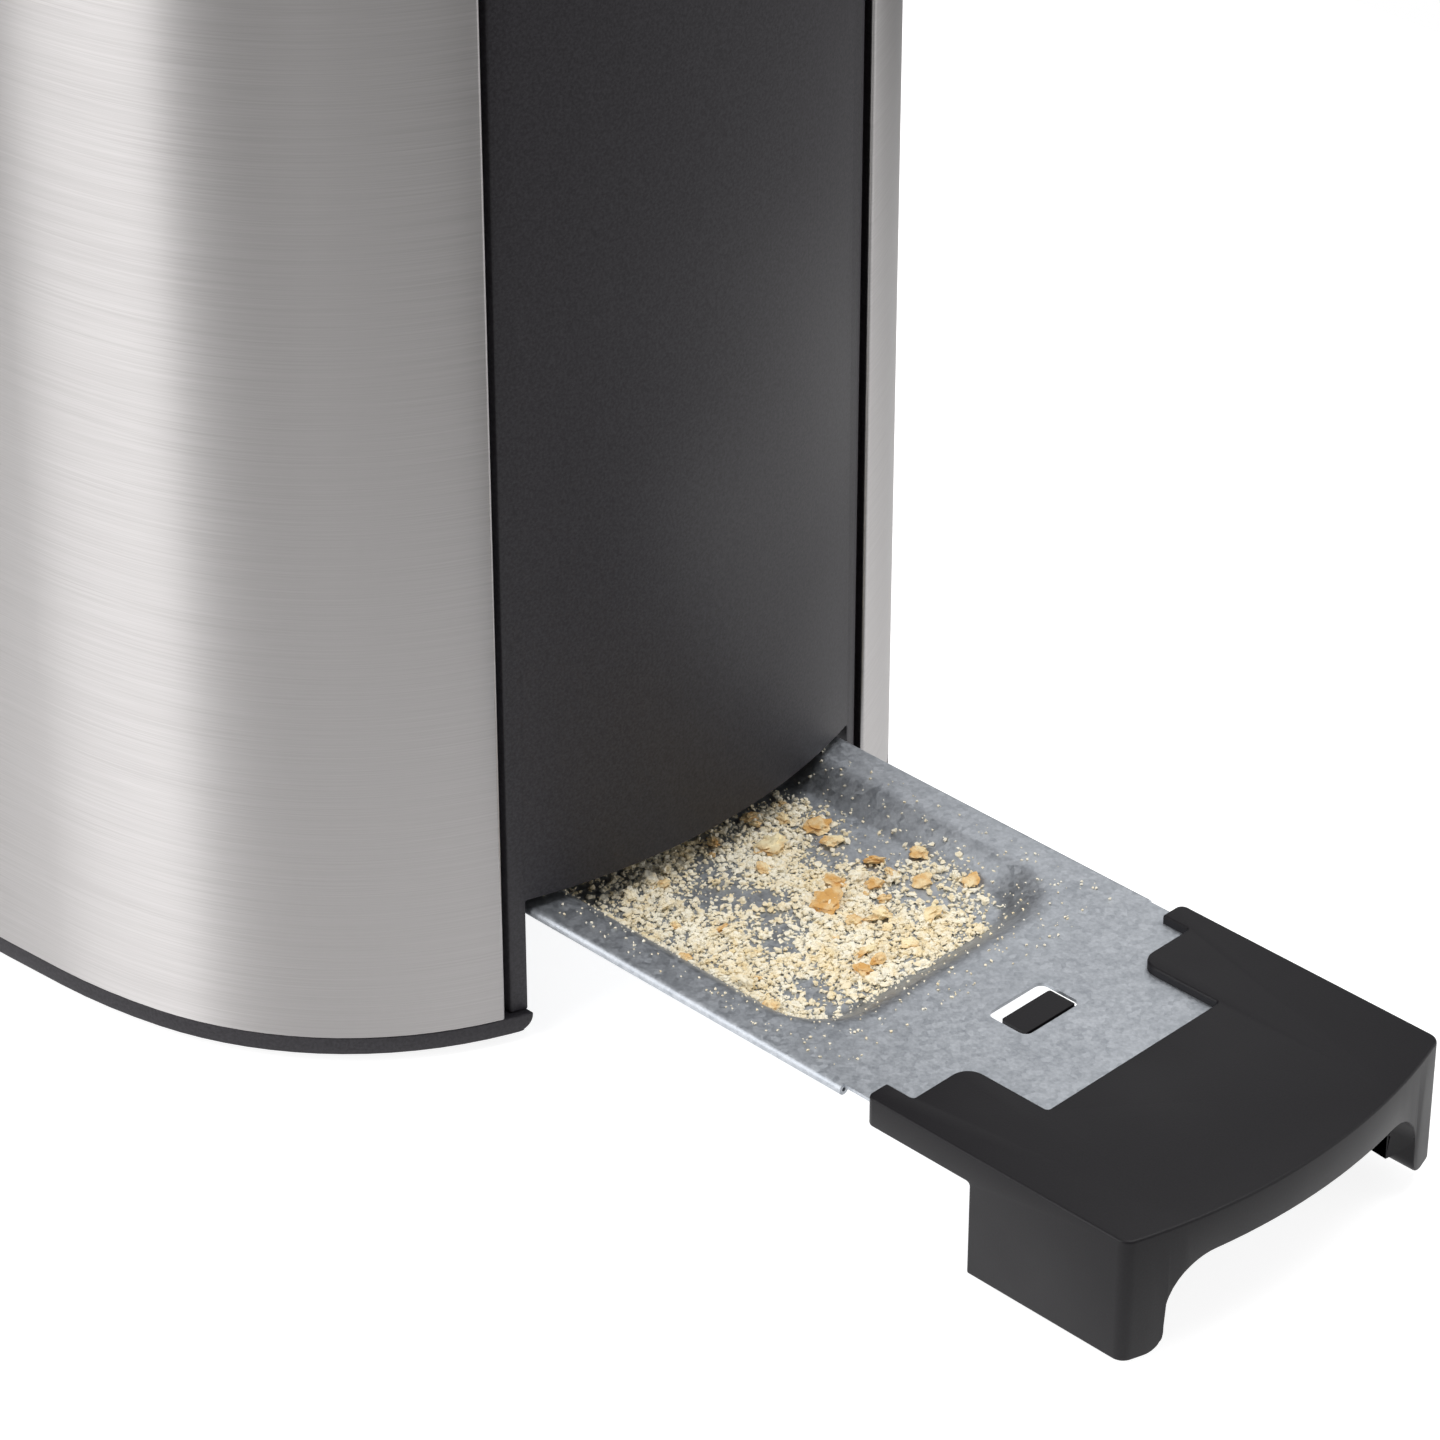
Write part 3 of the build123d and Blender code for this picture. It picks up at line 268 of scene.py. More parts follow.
BRUSH_LINE, BRUSH_RUN = 0.2 * MM, 30 * MM      # height and length of a brush mark

brushed_steel = Finish("brushed_steel", {
    "Metallic": 1.0, "Anisotropic": 0.95, "Anisotropic Rotation": 0.25})
along = (1 / BRUSH_RUN, 1 / BRUSH_RUN, 1 / BRUSH_LINE)
fine = brushed_steel.noise(1.0, along, 3.0, 0.6)
broad = brushed_steel.noise(1.0, (30, 30, 1 / (1.6 * MM)), 2.0)
grain = fine * 0.85 + broad * 0.15
brushed_steel.set({
    "Base Color": brushed_steel.mix(brushed_steel.ranged(grain, 0.35, 0.65),
                                    (0.415, 0.399, 0.396), (0.49, 0.475, 0.472)),
    "Roughness": brushed_steel.ranged(grain, 0.3, 0.7, 0.38, 0.46),
    "Normal": brushed_steel.bump(fine, 0.12, 0.02 * MM)})
for side in ("left", "right"):
    shell = whole_copy(f"shell_{side}", f"side_shell_{side}")
    brushed_steel.onto(shell)

# ---------------------------------------------------------------- base, end panels and top cover
# Black mouldings with a fine spark-eroded grain. The base's ring shows under the steel, the end panels
# stand between the shells' turned-in ends, and the cover closes the top.
grained_black = Finish("grained_black", {"Specular IOR Level": 0.27})
speckle = grained_black.noise(1 / (0.5 * MM), detail=4.0, roughness=0.65)
drift = grained_black.noise(1 / (60 * MM), detail=1.0)
grained_black.set({
    "Base Color": grained_black.mix(grained_black.ranged(speckle, 0.35, 0.65),
                                    (0.0185, 0.0170, 0.0200), (0.0350, 0.0325, 0.0375)),
    "Roughness": grained_black.ranged(drift, 0.3, 0.7, 0.46, 0.58),
    "Normal": grained_black.bump(speckle, 0.35, 0.06 * MM)})
for node, name, round_off in (("base", "base_moulding", 0.25), ("rear_panel", "rear_end_panel", 0.35),
                              ("front_panel", "front_end_panel", 0.35), ("top_cover", "top_moulding", 0.0)):
    moulding = whole_copy(node, name, round_off * MM)
    grained_black.onto(moulding)

# ---------------------------------------------------------------- slot trims
# A bright frame of polished stainless steel is dropped into each bread slot and clipped under the cover.
polished_steel = Finish("polished_steel", {"Metallic": 1.0})
smear = polished_steel.noise(1 / (14 * MM), (1, 5, 5), 3.0)
hairline = polished_steel.noise(1.0, (60, 2500, 60), 2.0)
polished_steel.set({
    "Base Color": polished_steel.mix(smear, (0.56, 0.55, 0.54), (0.68, 0.67, 0.66)),
    "Roughness": polished_steel.ranged(smear, 0.3, 0.7, 0.13, 0.24),
    "Normal": polished_steel.bump(hairline, 0.05, 0.02 * MM)})
for side in ("left", "right"):
    polished_steel.onto(whole_copy(f"slot_trim_{side}", f"bread_slot_trim_{side}"))

# ---------------------------------------------------------------- crumb tray
# Pressed from one 0.6 mm galvanised sheet: a shallow pan with a rounded rim, long edges rolled under,
# and a hole near the front that the handle's hook snaps into.
tray_low, tray_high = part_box("crumb_tray")
TRAY_TOP, TRAY_SHEET = tray_high.z, 0.6 * MM
NECK_HALF = 36.4 * MM
ROLL = tray_high.y - NECK_HALF
ROLL_END = tray_low.x + 165.0 * MM
PAN_IN, PAN_OUT = tray_low.x + 7.4 * MM, tray_low.x + 156.2 * MM
PAN_HALF, FLOOR_HALF, PAN_RAMP, PAN_DEPTH = 31.5 * MM, 25.0 * MM, 8.6 * MM, 4.5 * MM
RIM_CORNER, FLOOR_CORNER = 15.0 * MM, 8.5 * MM
RIM_SOFT = 0.45                                 # share of the wall that its rounded rim takes up
HOLE_LOW, HOLE_HIGH, HOLE_HALF, HOLE_CORNER = 168.0 * MM, 176.7 * MM, 6.6 * MM, 1.5 * MM
MESH_STEP = 1.0 * MM


def outside(x, y, half_length, half_width, corner):
    """Distance from a rounded rectangle centred on the origin, negative inside it."""
    reach_x, reach_y = abs(x) - half_length + corner, abs(y) - half_width + corner
    return hypot(max(reach_x, 0), max(reach_y, 0)) + min(max(reach_x, reach_y), 0) - corner


def pan_depth(x, y):
    """How far the pressed sheet lies below its flat rim at a place."""
    x -= (PAN_IN + PAN_OUT) / 2
    half = (PAN_OUT - PAN_IN) / 2
    inside_rim = max(0, -outside(x, y, half, PAN_HALF, RIM_CORNER))
    off_floor = max(0, outside(x, y, half - PAN_RAMP, FLOOR_HALF, FLOOR_CORNER))
    share = inside_rim / max(inside_rim + off_floor, 1e-9)
    if share < RIM_SOFT:
        return PAN_DEPTH * share ** 2 / RIM_SOFT / (2 - RIM_SOFT)
    return PAN_DEPTH * (2 * share - RIM_SOFT) / (2 - RIM_SOFT)


tray_length, tray_middle = tray_high.x - tray_low.x, (tray_high.x + tray_low.x) / 2
bpy.ops.mesh.primitive_grid_add(x_subdivisions=round(tray_length / MESH_STEP),
                                y_subdivisions=round(2 * NECK_HALF / MESH_STEP), size=1)
pressing = bpy.context.object
pressing.name = "crumb_tray_pressing"
for vertex in pressing.data.vertices:
    x, y = tray_middle + vertex.co.x * tray_length, vertex.co.y * 2 * NECK_HALF
    vertex.co = (x, y, TRAY_TOP - pan_depth(x, y))
thickness = pressing.modifiers.new("thickness", "SOLIDIFY")
thickness.thickness = TRAY_SHEET
thickness.offset = -1
bpy.ops.object.modifier_apply(modifier="thickness")

bpy.ops.mesh.primitive_cube_add(size=1, location=(tray_low.x + (HOLE_LOW + HOLE_HIGH) / 2, 0, TRAY_TOP),
                                scale=(HOLE_HIGH - HOLE_LOW, 2 * HOLE_HALF, 8 * MM))
punch = bpy.context.object
bpy.ops.object.transform_apply(location=True, rotation=True, scale=True)
corners = punch.modifiers.new("corners", "BEVEL")
corners.width = HOLE_CORNER
corners.segments = 6
bpy.ops.object.modifier_apply(modifier="corners")
bpy.ops.object.select_all(action="DESELECT")
pressing.select_set(True)
bpy.context.view_layer.objects.active = pressing
punching = pressing.modifiers.new("punching", "BOOLEAN")
punching.operation = "DIFFERENCE"
punching.object = punch
bpy.ops.object.modifier_apply(modifier="punching")
bpy.data.objects.remove(punch)


def select_where(piece, test):
    """Leaves selected only the points of a piece that pass the test, ready for edit mode."""
    bpy.ops.object.mode_set(mode="EDIT")
    bpy.ops.mesh.select_all(action="DESELECT")
    bpy.ops.object.mode_set(mode="OBJECT")
    for vertex in piece.data.vertices:
        vertex.select = test(vertex.co)


ROLL_OPEN = (5.0, 45.0)                         # degrees of the roll that stay open, under the sheet
for side in (1, -1):
    bpy.ops.mesh.primitive_circle_add(vertices=36, radius=ROLL - TRAY_SHEET / 2,
                                      location=(tray_low.x, side * NECK_HALF, TRAY_TOP - ROLL),
                                      rotation=(0, pi / 2, 0))
    roll = bpy.context.object
    bpy.ops.object.transform_apply(location=True, rotation=True, scale=True)
    select_where(roll, lambda point: ROLL_OPEN[0] < degrees(atan2(
        point.z - TRAY_TOP + ROLL, -side * (point.y - side * NECK_HALF))) < ROLL_OPEN[1])
    bpy.ops.object.mode_set(mode="EDIT")
    bpy.ops.mesh.delete(type="VERT")
    bpy.ops.mesh.select_all(action="SELECT")
    bpy.ops.mesh.extrude_region_move(TRANSFORM_OT_translate={"value": (ROLL_END - tray_low.x, 0, 0)})
    bpy.ops.mesh.select_all(action="SELECT")
    bpy.ops.mesh.normals_make_consistent(inside=False)
    bpy.ops.object.mode_set(mode="OBJECT")
    curl = roll.modifiers.new("curl", "SOLIDIFY")
    curl.thickness = TRAY_SHEET
    curl.offset = 0
    bpy.ops.object.modifier_apply(modifier="curl")
    pressing.select_set(True)
    bpy.context.view_layer.objects.active = pressing
    bpy.ops.object.join()
bpy.ops.object.shade_smooth_by_angle(angle=radians(35))
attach(pressing, "tray")
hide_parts("crumb_tray")

galvanised = Finish("galvanised_sheet", {"Metallic": 1.0})
spangle = galvanised.cells(1 / (1.1 * MM))
mottle = galvanised.noise(1 / (7 * MM), detail=4.0, roughness=0.6)
fleck = galvanised.noise(1 / (0.6 * MM), detail=2.0)
tone = galvanised.ranged(spangle * 0.25 + mottle * 0.3 + fleck * 0.45, 0.30, 0.68)
galvanised.set({
    "Base Color": galvanised.mix(tone, (0.37, 0.395, 0.43), (0.56, 0.585, 0.62)),
    "Roughness": galvanised.ranged(spangle * 0.6 + fleck, 0.2, 1.2, 0.42, 0.58),
    "Normal": galvanised.bump(mottle * 0.2 + fleck * 0.8, 0.2, 0.06 * MM)})
galvanised.onto(pressing)

# ---------------------------------------------------------------- tray handle
# A satin black moulding that grips the sheet's front with two rails and a hook, and carries the bowed
# front band and its two legs.
HANDLE_ROUND = 0.45 * MM
SHEET_ROOM = (TRAY_TOP - 1.5 * TRAY_SHEET, TRAY_TOP + 0.1 * MM)     # heights of the slit the sheet fills
handle = whole_copy("tray_handle", "tray_handle_moulding", HANDLE_ROUND, SHEET_ROOM)
satin_black = Finish("satin_black", {"Specular IOR Level": 0.19})
pores = satin_black.noise(1 / (0.35 * MM), detail=3.0)
rub = satin_black.noise(1 / (25 * MM), detail=3.0)
satin_black.set({
    "Base Color": satin_black.mix(pores, (0.0075, 0.0069, 0.0082), (0.0145, 0.0135, 0.0155)),
    "Roughness": satin_black.ranged(rub, 0.3, 0.7, 0.36, 0.47),
    "Normal": satin_black.bump(pores, 0.22, 0.05 * MM)})
satin_black.onto(handle)

# ---------------------------------------------------------------- toast crumbs
# What falls through the cage: a bed of fine pale crumbs in drifts, thinner towards the far side, with
# clumps, golden flakes of crust, and dust on the rim. They lie loose on the sheet and travel with the tray.
random.seed(41)
# drifts and bare patches are a place and a radius, flakes of crust a place and a size, in millimetres
DRIFTS = [((139, 8), 7), ((134, 19), 5), ((155, 8), 8), ((159, 4), 6), ((163, 23), 5), ((170, 23), 5),
          ((173, 12), 6), ((172, -3), 6), ((176, -7), 6), ((167, -6), 8), ((150, -18), 8), ((163, -21), 9),
          ((174, -24), 4), ((137, -18), 7), ((130, -6), 7), ((146, 3), 5), ((180, 6), 5)]
BARE = [((147.8, 12), 4.5), ((141.6, -11), 4.2), ((135.8, -4.5), 3.8), ((149, -2.3), 3.4), ((160, -11), 4.0),
        ((174, -16.7), 4.2), ((168, 17), 4.0), ((152, 21), 5.0)]
CRUST = [(139.3, 8.1, 5.6), (143.1, 2.8, 3.0), (130.5, 12.4, 3.4), (140.5, 18.3, 4.2), (145.4, 16.7, 3.6),
         (154.7, 17.4, 3.4), (159.6, 16.6, 3.2), (158.5, 24.5, 3.4), (164.9, 18.5, 3.0), (154.2, 8.2, 4.4),
         (157.7, 2.4, 5.0), (172.2, -3.0, 4.0), (175.6, -7.3, 3.4), (170.6, 24.2, 2.8), (172.4, 12.5, 3.6),
         (166.5, 5.0, 3.2), (150.5, -15.0, 2.6)]
FINE_CRUMBS, BED_CRUMBS, CLUMPS, FLAKES, STRAY_CRUMBS = 8200, 3000, 130, 26, 1100
CRUMBS_ALONG, CRUMBS_ACROSS = (112, 182), (-27, 28)
DUST_ALONG, DUST_ACROSS = (112, 196), (-35, 34)
THIN_SHARE, DRIFT_SHARE, SWEPT_SHARE = 0.05, 0.85, 0.93
FAR_EDGE, FAR_FADE = 29, 14
SUNK = 0.04 * MM                                # how far a crumb beds into the sheet


def crumb_share(x, y):
    """How thickly crumbs lie at a place in millimetres, from 0 to 1."""
    drifted = sum(exp(-((x - u) ** 2 + (y - v) ** 2) / r ** 2) for (u, v), r in DRIFTS)
    share = THIN_SHARE + DRIFT_SHARE * drifted
    share *= min(1, max(THIN_SHARE, (FAR_EDGE - y) / FAR_FADE))
    for (u, v), r in BARE:
        share *= 1 - SWEPT_SHARE * exp(-((x - u) ** 2 + (y - v) ** 2) / r ** 2)
    return min(1, share)


def lump(faces_level, uneven):
    """An uneven little solid about one unit across, as a list of points and faces."""
    bpy.ops.mesh.primitive_ico_sphere_add(subdivisions=faces_level, radius=0.5)
    ball = bpy.context.object
    start = Vector((random.uniform(0, 50), 0, 0))
    for vertex in ball.data.vertices:
        bulge = noise.noise(vertex.co * 3.2 + start) * 1.5 * uneven
        vertex.co *= 1 + 1.6 * bulge + random.uniform(-uneven, uneven) * 0.6
    points = [vertex.co.copy() for vertex in ball.data.vertices]
    faces = [tuple(face.vertices) for face in ball.data.polygons]
    bpy.data.objects.remove(ball)
    return points, faces


def scatter(name, lumps, places):
    """One piece made of a lump at each place: (x, y, size, flatness)."""
    points, faces = [], []
    for x, y, size, flatness in places:
        shape, sides = random.choice(lumps)
        turn = Matrix.Rotation(random.uniform(0, 2 * pi), 3, "Z")
        spin = turn @ Matrix.Rotation(random.uniform(-0.5, 0.5), 3, "X")
        stretch = Matrix.Diagonal((1, random.uniform(0.6, 1), flatness))
        turned = [spin @ (stretch @ point) * size for point in shape]
        lift = TRAY_TOP - pan_depth(x, y) - min(point.z for point in turned) - SUNK
        first = len(points)
        points += [point + Vector((x, y, lift)) for point in turned]
        faces += [tuple(first + corner for corner in side) for side in sides]
    mesh = bpy.data.meshes.new(name)
    mesh.from_pydata(points, [], faces)
    piece = bpy.data.objects.new(name, mesh)
    bpy.context.scene.collection.objects.link(piece)
    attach(piece, "tray")
    return piece


def crumb_places(count, low, high, flatness):
    """Places for crumbs, thick where they drift; low and high are the smallest and largest size in mm."""
    places = []
    while len(places) < count:
        x, y = random.uniform(*CRUMBS_ALONG), random.uniform(*CRUMBS_ACROSS)
        if random.random() < crumb_share(x, y):
            size = low + (high - low) * random.random() ** 3
            places.append((x * MM, y * MM, size * MM, random.uniform(*flatness)))
    return places


fine_lumps = [lump(1, 0.28) for _ in range(6)]
coarse_lumps = [lump(3, 0.3) for _ in range(10)]
crumbs = scatter("toast_crumbs", fine_lumps, crumb_places(FINE_CRUMBS, 0.3, 1.25, (0.55, 0.9)))
bed = scatter("toast_crumb_bed", fine_lumps, crumb_places(BED_CRUMBS, 0.7, 1.7, (0.25, 0.4)))
clumps = scatter("toast_clumps", coarse_lumps, crumb_places(CLUMPS, 1.0, 2.6, (0.4, 0.65)))
flake_places = crumb_places(FLAKES, 1.2, 3.0, (0.35, 0.55))
flake_places += [(x * MM, y * MM, size * MM, random.uniform(0.22, 0.34)) for x, y, size in CRUST]
flakes = scatter("toast_flakes", coarse_lumps, flake_places)
strays = [(random.uniform(*DUST_ALONG) * MM, random.uniform(*DUST_ACROSS) * MM,
           random.uniform(0.2, 0.6) * MM, 0.7) for _ in range(STRAY_CRUMBS)]
stray_dust = scatter("toast_dust", fine_lumps, strays)

crumb_pale = Finish("toast_crumb", {"Roughness": 0.85, "Specular IOR Level": 0.2})
patch = crumb_pale.noise(1 / (1.6 * MM), detail=3.0)
toasting = crumb_pale.noise(1 / (9 * MM), detail=2.0)
crumb_pale.set({
    "Base Color": crumb_pale.mix(crumb_pale.ranged(patch * 0.6 + toasting * 0.4, 0.42, 0.62),
                                 (0.90, 0.85, 0.71), (0.84, 0.71, 0.46)),
    "Normal": crumb_pale.bump(crumb_pale.noise(1 / (0.3 * MM)), 0.5, 0.1 * MM)})
crumb_pale.onto(crumbs, bed, clumps, stray_dust)
crust_gold = Finish("toast_crust", {"Roughness": 0.8, "Specular IOR Level": 0.25})
patch = crust_gold.noise(1 / (2.2 * MM), detail=4.0)
region = crust_gold.noise(1 / (11 * MM), detail=1.0)
crust_gold.set({
    "Base Color": crust_gold.mix(crust_gold.ranged(patch * 0.5 + region * 0.5, 0.40, 0.60),
                                 (0.90, 0.78, 0.50), (0.66, 0.37, 0.12)),
    "Normal": crust_gold.bump(crust_gold.noise(1 / (0.5 * MM), detail=3.0), 0.6, 0.25 * MM)})
crust_gold.onto(flakes)

# ---------------------------------------------------------------- rubber feet and cord gland
# Four turned-rubber feet are pushed through the base, and a rubber gland lines the hole where the mains
# cord enters, low on the lever end.
soft_rubber = Finish("soft_rubber", {"Roughness": 0.72, "Specular IOR Level": 0.25})
bloom = soft_rubber.noise(1 / (6 * MM), detail=3.0)
soft_rubber.set({
    "Base Color": soft_rubber.mix(bloom, (0.012, 0.012, 0.012), (0.03, 0.03, 0.031)),
    "Normal": soft_rubber.bump(soft_rubber.noise(1 / (0.4 * MM)), 0.3, 0.05 * MM)})
soft_rubber.onto(whole_copy("rubber_feet", "push_in_feet", 0.5 * MM),
                 whole_copy("cord_gland", "cord_gland_rubber", 0.2 * MM))

# ---------------------------------------------------------------- toasting cage
# Bright aluminised sheet steel: two bulkheads, two reflectors, a top frame and the tray's guides, folded
# and screwed down onto the base. Heat and fingers leave it slightly blotched.
aluminised = Finish("aluminised_sheet", {"Metallic": 1.0})
blotch = aluminised.noise(1 / (22 * MM), detail=4.0, roughness=0.6)
rolling = aluminised.noise(1.0, (25, 25, 1800), 2.0)
aluminised.set({
    "Base Color": aluminised.mix(blotch, (0.48, 0.47, 0.45), (0.66, 0.65, 0.63)),
    "Roughness": aluminised.ranged(blotch * 0.6 + rolling * 0.4, 0.3, 0.7, 0.22, 0.44),
    "Normal": aluminised.bump(rolling, 0.08, 0.03 * MM)})
CAGE_SHEETS = ("bulkhead_front", "bulkhead_rear", "reflector_left", "reflector_right", "top_frame",
               "tray_guide_left", "tray_guide_right", "board_bracket", "carriage_bracket")
aluminised.onto(*(frame["nodes"][name] for name in CAGE_SHEETS))

# ---------------------------------------------------------------- heaters and bread guards
# Three mica cards, each wound with flat nichrome ribbon that has darkened with heat, stand either side of
# the bread. Plain steel wires keep the bread off them.
mica_sheet = Finish("mica_sheet", {"Coat Roughness": 0.3, "Specular IOR Level": 0.5})
flake_pattern = mica_sheet.cells(1 / (3 * MM))
cloud = mica_sheet.noise(1 / (18 * MM), detail=4.0)
mica_sheet.set({
    "Base Color": mica_sheet.mix(flake_pattern * 0.45 + cloud * 0.55, (0.40, 0.31, 0.19), (0.62, 0.53, 0.38)),
    "Roughness": mica_sheet.ranged(flake_pattern, 0, 1, 0.28, 0.5)})
nichrome = Finish("nichrome_ribbon", {"Metallic": 1.0})
heat_tint = nichrome.noise(1 / (12 * MM), detail=3.0)
nichrome.set({
    "Base Color": nichrome.mix(nichrome.ranged(heat_tint, 0.35, 0.65),
                               (0.16, 0.13, 0.115), (0.34, 0.32, 0.31)),
    "Roughness": nichrome.ranged(heat_tint, 0.3, 0.7, 0.35, 0.55)})
bright_wire = Finish("bright_wire", {"Metallic": 1.0})
drawn = bright_wire.noise(1 / (5 * MM), detail=3.0)
bright_wire.set({
    "Base Color": bright_wire.mix(drawn, (0.46, 0.45, 0.44), (0.62, 0.61, 0.60)),
    "Roughness": bright_wire.ranged(drawn, 0.3, 0.7, 0.2, 0.38)})
for card in ("centre", "left", "right"):
    mica_sheet.onto(frame["nodes"][f"mica_card_{card}"])
    nichrome.onto(frame["nodes"][f"heater_winding_{card}"])
for side in ("left", "right"):
    for place in ("inner", "outer"):
        bright_wire.onto(frame["nodes"][f"bread_guard_{side}_{place}"])

# ---------------------------------------------------------------- carriage and its lift spring
# The carriage slides on an upright rod by a brass bush, with a rack in each slot to carry the bread. A
# close-wound tension spring of 0.9 mm wire, hooked to the cage above, lifts it all when the magnet lets go.
bright_wire.onto(*(frame["nodes"][name] for name in (
    "bread_rack_left", "bread_rack_right", "guide_rod", "lever_arm", "armature_plate", "magnet_core",
    "base_screws", "panel_screws")))
brass = Finish("brass", {"Metallic": 1.0})
tarnish = brass.noise(1 / (4 * MM), detail=3.0)
brass.set({
    "Base Color": brass.mix(tarnish, (0.55, 0.38, 0.14), (0.74, 0.56, 0.26)),
    "Roughness": brass.ranged(tarnish, 0.3, 0.7, 0.22, 0.4)})
brass.onto(frame["nodes"]["carriage_bush"])

spring_low, spring_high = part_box("lift_spring")
SPRING_WIRE = 0.45 * MM
SPRING_PITCH, COIL_STEPS = 1.6 * MM, 20
spring_middle = (spring_low + spring_high) / 2
coil_radius = (spring_high.x - spring_low.x) / 2 - SPRING_WIRE
turns = int((spring_high.z - spring_low.z - 2 * SPRING_WIRE) / SPRING_PITCH)
bpy.ops.mesh.primitive_circle_add(vertices=10, radius=SPRING_WIRE, fill_type="NOTHING",
                                  location=(coil_radius, 0, 0), rotation=(pi / 2, 0, 0))
spring = bpy.context.object
spring.name = "lift_spring_coil"
bpy.ops.object.transform_apply(location=True, rotation=True, scale=True)
winding = spring.modifiers.new("winding", "SCREW")
winding.angle = 2 * pi
winding.screw_offset = SPRING_PITCH
winding.iterations = turns
winding.steps = COIL_STEPS
winding.render_steps = COIL_STEPS
bpy.ops.object.modifier_apply(modifier="winding")
bpy.ops.object.mode_set(mode="EDIT")
bpy.ops.mesh.select_all(action="SELECT")
bpy.ops.mesh.remove_doubles(threshold=0.01 * MM)
bpy.ops.mesh.fill_holes(sides=12)
bpy.ops.mesh.select_all(action="SELECT")
bpy.ops.mesh.normals_make_consistent(inside=False)
bpy.ops.object.mode_set(mode="OBJECT")
spring.location = (spring_middle.x, spring_middle.y, spring_low.z + SPRING_WIRE)
bpy.ops.object.transform_apply(location=True, rotation=True, scale=True)
bpy.ops.object.shade_smooth_by_angle(angle=radians(40))
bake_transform(spring)
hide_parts("lift_spring")
bright_wire.onto(spring)

# ---------------------------------------------------------------- electromagnet and control board
# The magnet's copper winding holds the carriage down while a timer on the control board counts. The board
# carries three switches and the browning potentiometer, and the mains lands on a terminal block.
enamelled_copper = Finish("enamelled_copper", {"Metallic": 1.0, "Roughness": 0.32})
wire_turns = enamelled_copper.noise(1.0, (40, 40, 3200), 1.0)
enamelled_copper.set({
    "Base Color": enamelled_copper.mix(wire_turns, (0.42, 0.17, 0.07), (0.72, 0.36, 0.18)),
    "Normal": enamelled_copper.bump(wire_turns, 0.5, 0.1 * MM)})
enamelled_copper.onto(frame["nodes"]["magnet_coil"])
board_green = Finish("board_green", {"Roughness": 0.35, "Specular IOR Level": 0.45})
tracks = board_green.noise(1.0, (1, 900, 90), 1.0) > 0.56
board_green.set({"Base Color": board_green.mix(tracks, (0.012, 0.085, 0.035), (0.03, 0.17, 0.075))})
board_green.onto(frame["nodes"]["control_board"])
grey_nylon = Finish("grey_nylon", {"Specular IOR Level": 0.4})
flow = grey_nylon.noise(1 / (8 * MM), detail=3.0)
grey_nylon.set({
    "Base Color": grey_nylon.mix(flow, (0.30, 0.30, 0.29), (0.42, 0.42, 0.40)),
    "Roughness": grey_nylon.ranged(flow, 0.3, 0.7, 0.42, 0.6)})
grey_nylon.onto(*(frame["nodes"][name] for name in (
    "button_switches", "potentiometer", "terminal_block", "dial_spindle")))

# ---------------------------------------------------------------- lever, browning dial and buttons
# Satin black mouldings on the lever end. A pale print gives the seven browning steps round the dial and a
# plain sign on each button: a cross to stop, a ring to reheat, a star of frost to thaw.
for node, name, round_off in (("lever_knob", "lever_grip", 0.0), ("browning_knob", "browning_dial", 0.15),
                              ("cancel_button", "cancel_cap", 0.0), ("reheat_button", "reheat_cap", 0.0),
                              ("defrost_button", "defrost_cap", 0.0)):
    satin_black.onto(whole_copy(node, name, round_off * MM))

PRINT_THICK, PRINT_SINK = 0.08 * MM, 0.02 * MM
DIGIT_HEIGHT, DIGIT_AWAY = 3.6 * MM, 21.6 * MM
FIRST_STEP, STEP_TURN, STEPS = -135, 45, 7
BAR_LENGTH, BAR_WIDTH = 5.2 * MM, 0.6 * MM
FACING_LEVER_END = Matrix(((0, 0, -1), (-1, 0, 0), (0, 1, 0)))

white_print = Finish("white_print", {"Roughness": 0.6, "Specular IOR Level": 0.3})
ink = white_print.noise(1 / (0.5 * MM), detail=2.0)
white_print.set({"Base Color": white_print.mix(ink, (0.66, 0.66, 0.65), (0.80, 0.80, 0.79))})


def print_on(target, mark, name, body, y, z):
    """Lays a flat mark, drawn about the origin facing up, on the lever end's face of target."""
    mark.name = name
    _, place, normal, _ = target.ray_cast(Vector((-1, y, z)), Vector((1, 0, 0)))
    facing = Vector((-1, 0, 0)).rotation_difference(normal).to_matrix() @ FACING_LEVER_END
    mark.data.transform(Matrix.Translation(place - normal * PRINT_SINK) @ facing.to_4x4())
    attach(mark, body)
    white_print.onto(mark)


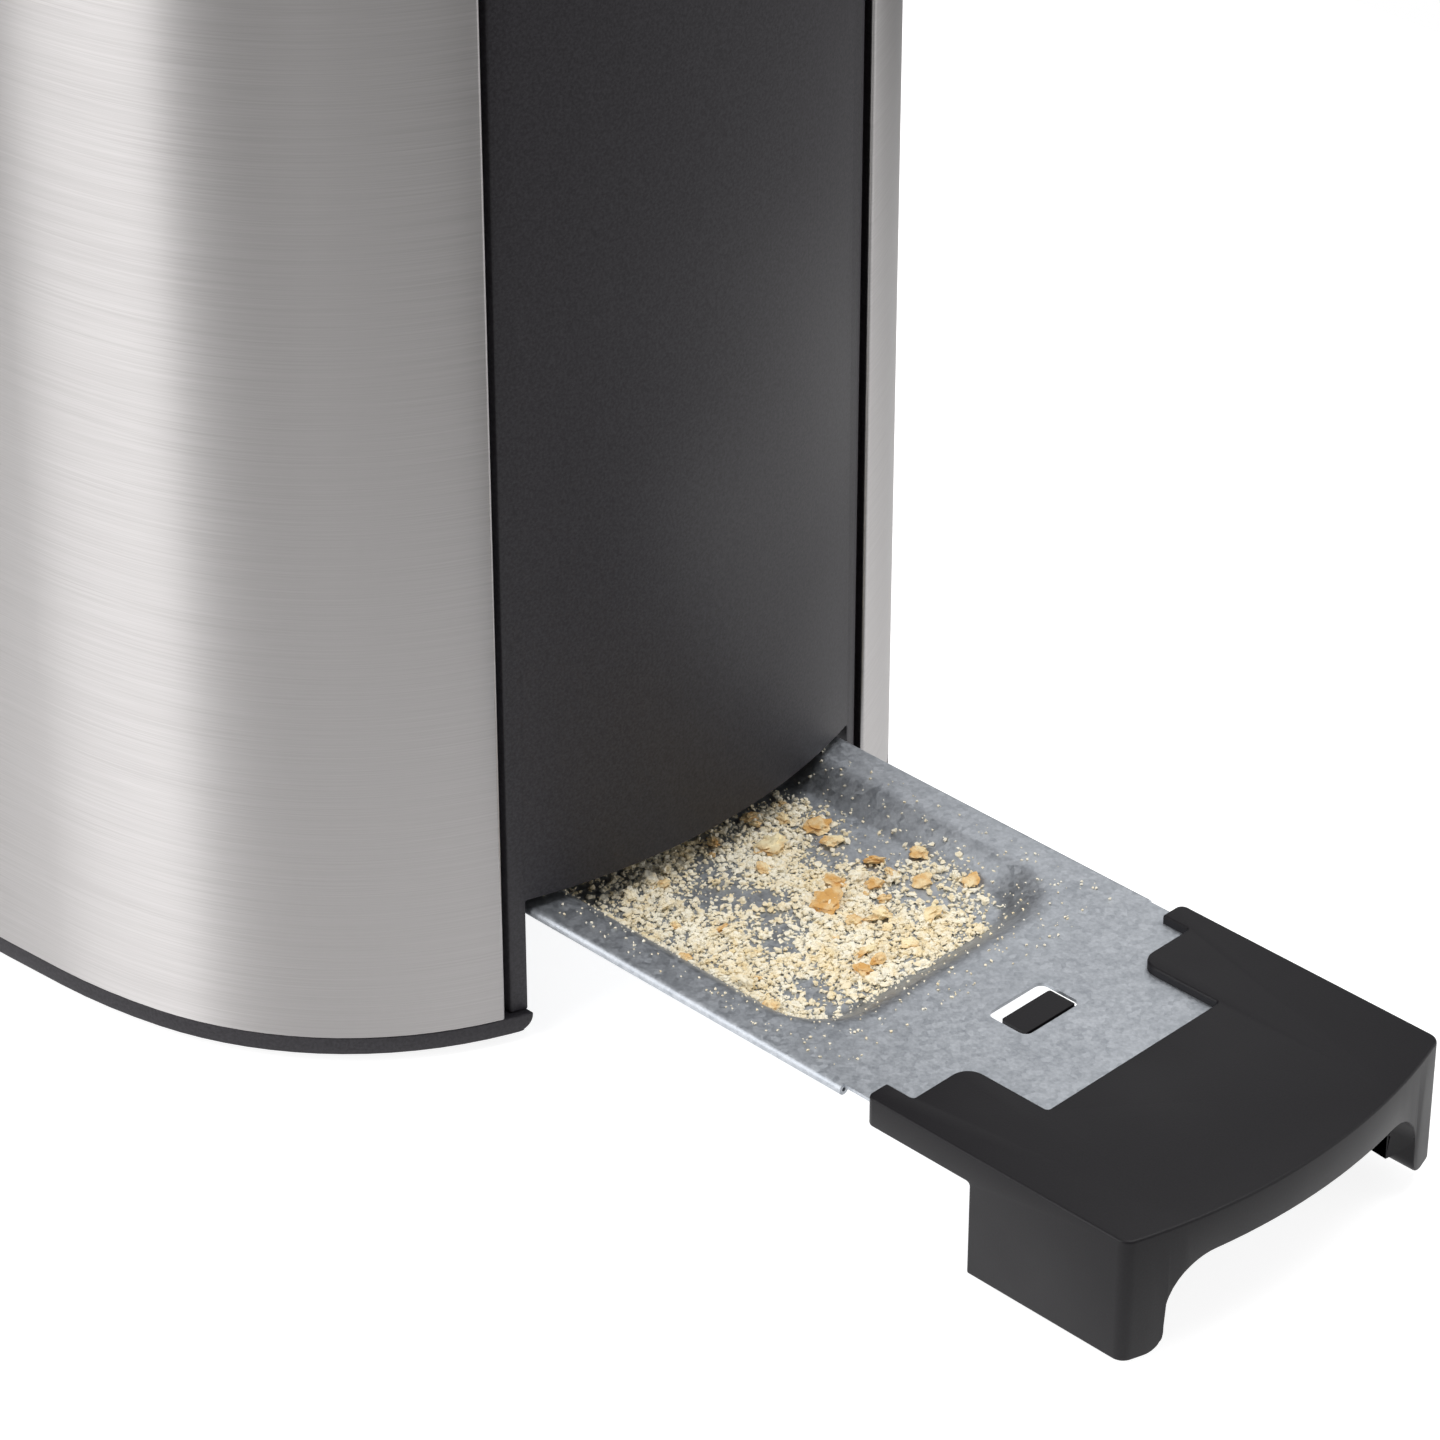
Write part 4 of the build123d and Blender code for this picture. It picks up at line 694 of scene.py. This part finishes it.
def plain_mesh(flat):
    """The active object as a mesh with its place in its points."""
    bpy.ops.object.select_all(action="DESELECT")
    flat.select_set(True)
    bpy.context.view_layer.objects.active = flat
    bpy.ops.object.convert(target="MESH")
    bpy.ops.object.transform_apply(location=True, rotation=True, scale=True)
    return bpy.context.object


front_face = bpy.data.objects["front_end_panel"]
dial_low, dial_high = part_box("browning_knob")
dial_y, dial_z = (dial_low.y + dial_high.y) / 2, (dial_low.z + dial_high.z) / 2
for step in range(STEPS):
    bpy.ops.object.text_add()
    digit = bpy.context.object
    digit.data.body = str(step + 1)
    digit.data.size = DIGIT_HEIGHT
    digit.data.align_x, digit.data.align_y = "CENTER", "CENTER"
    digit.data.extrude = PRINT_THICK / 2
    angle = radians(FIRST_STEP + STEP_TURN * step)
    print_on(front_face, plain_mesh(digit), f"browning_step_{step + 1}", "housing",
             dial_y - DIGIT_AWAY * sin(angle), dial_z + DIGIT_AWAY * cos(angle))


def crossed_bars(count):
    """Thin bars crossing at even angles: two make a cross, three a star. Each is a little thicker."""
    bpy.ops.object.select_all(action="DESELECT")
    bars = []
    for index in range(count):
        bpy.ops.mesh.primitive_cube_add(size=1, scale=(BAR_LENGTH, BAR_WIDTH, PRINT_THICK * (1 + index / 10)),
                                        rotation=(0, 0, pi * (index + 0.5) / count))
        bpy.ops.object.transform_apply(location=True, rotation=True, scale=True)
        bars.append(bpy.context.object)
    for bar in bars:
        bar.select_set(True)
    bpy.ops.object.join()
    return bpy.context.object


def ring(radius):
    """A thin flat ring: a torus pressed flat."""
    bpy.ops.mesh.primitive_torus_add(major_radius=radius, minor_radius=BAR_WIDTH / 2, major_segments=40,
                                     minor_segments=8)
    torus = bpy.context.object
    torus.scale = (1, 1, PRINT_THICK / BAR_WIDTH)
    bpy.ops.object.transform_apply(location=True, rotation=True, scale=True)
    return torus


for button, mark in (("cancel", crossed_bars(2)), ("reheat", ring(BAR_LENGTH * 0.42)),
                     ("defrost", crossed_bars(3))):
    cap = bpy.data.objects[f"{button}_cap"]
    button_low, button_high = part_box(f"{button}_button")
    centre = (button_low + button_high) / 2
    print_on(cap, mark, f"{button}_sign", button, centre.y, centre.z)
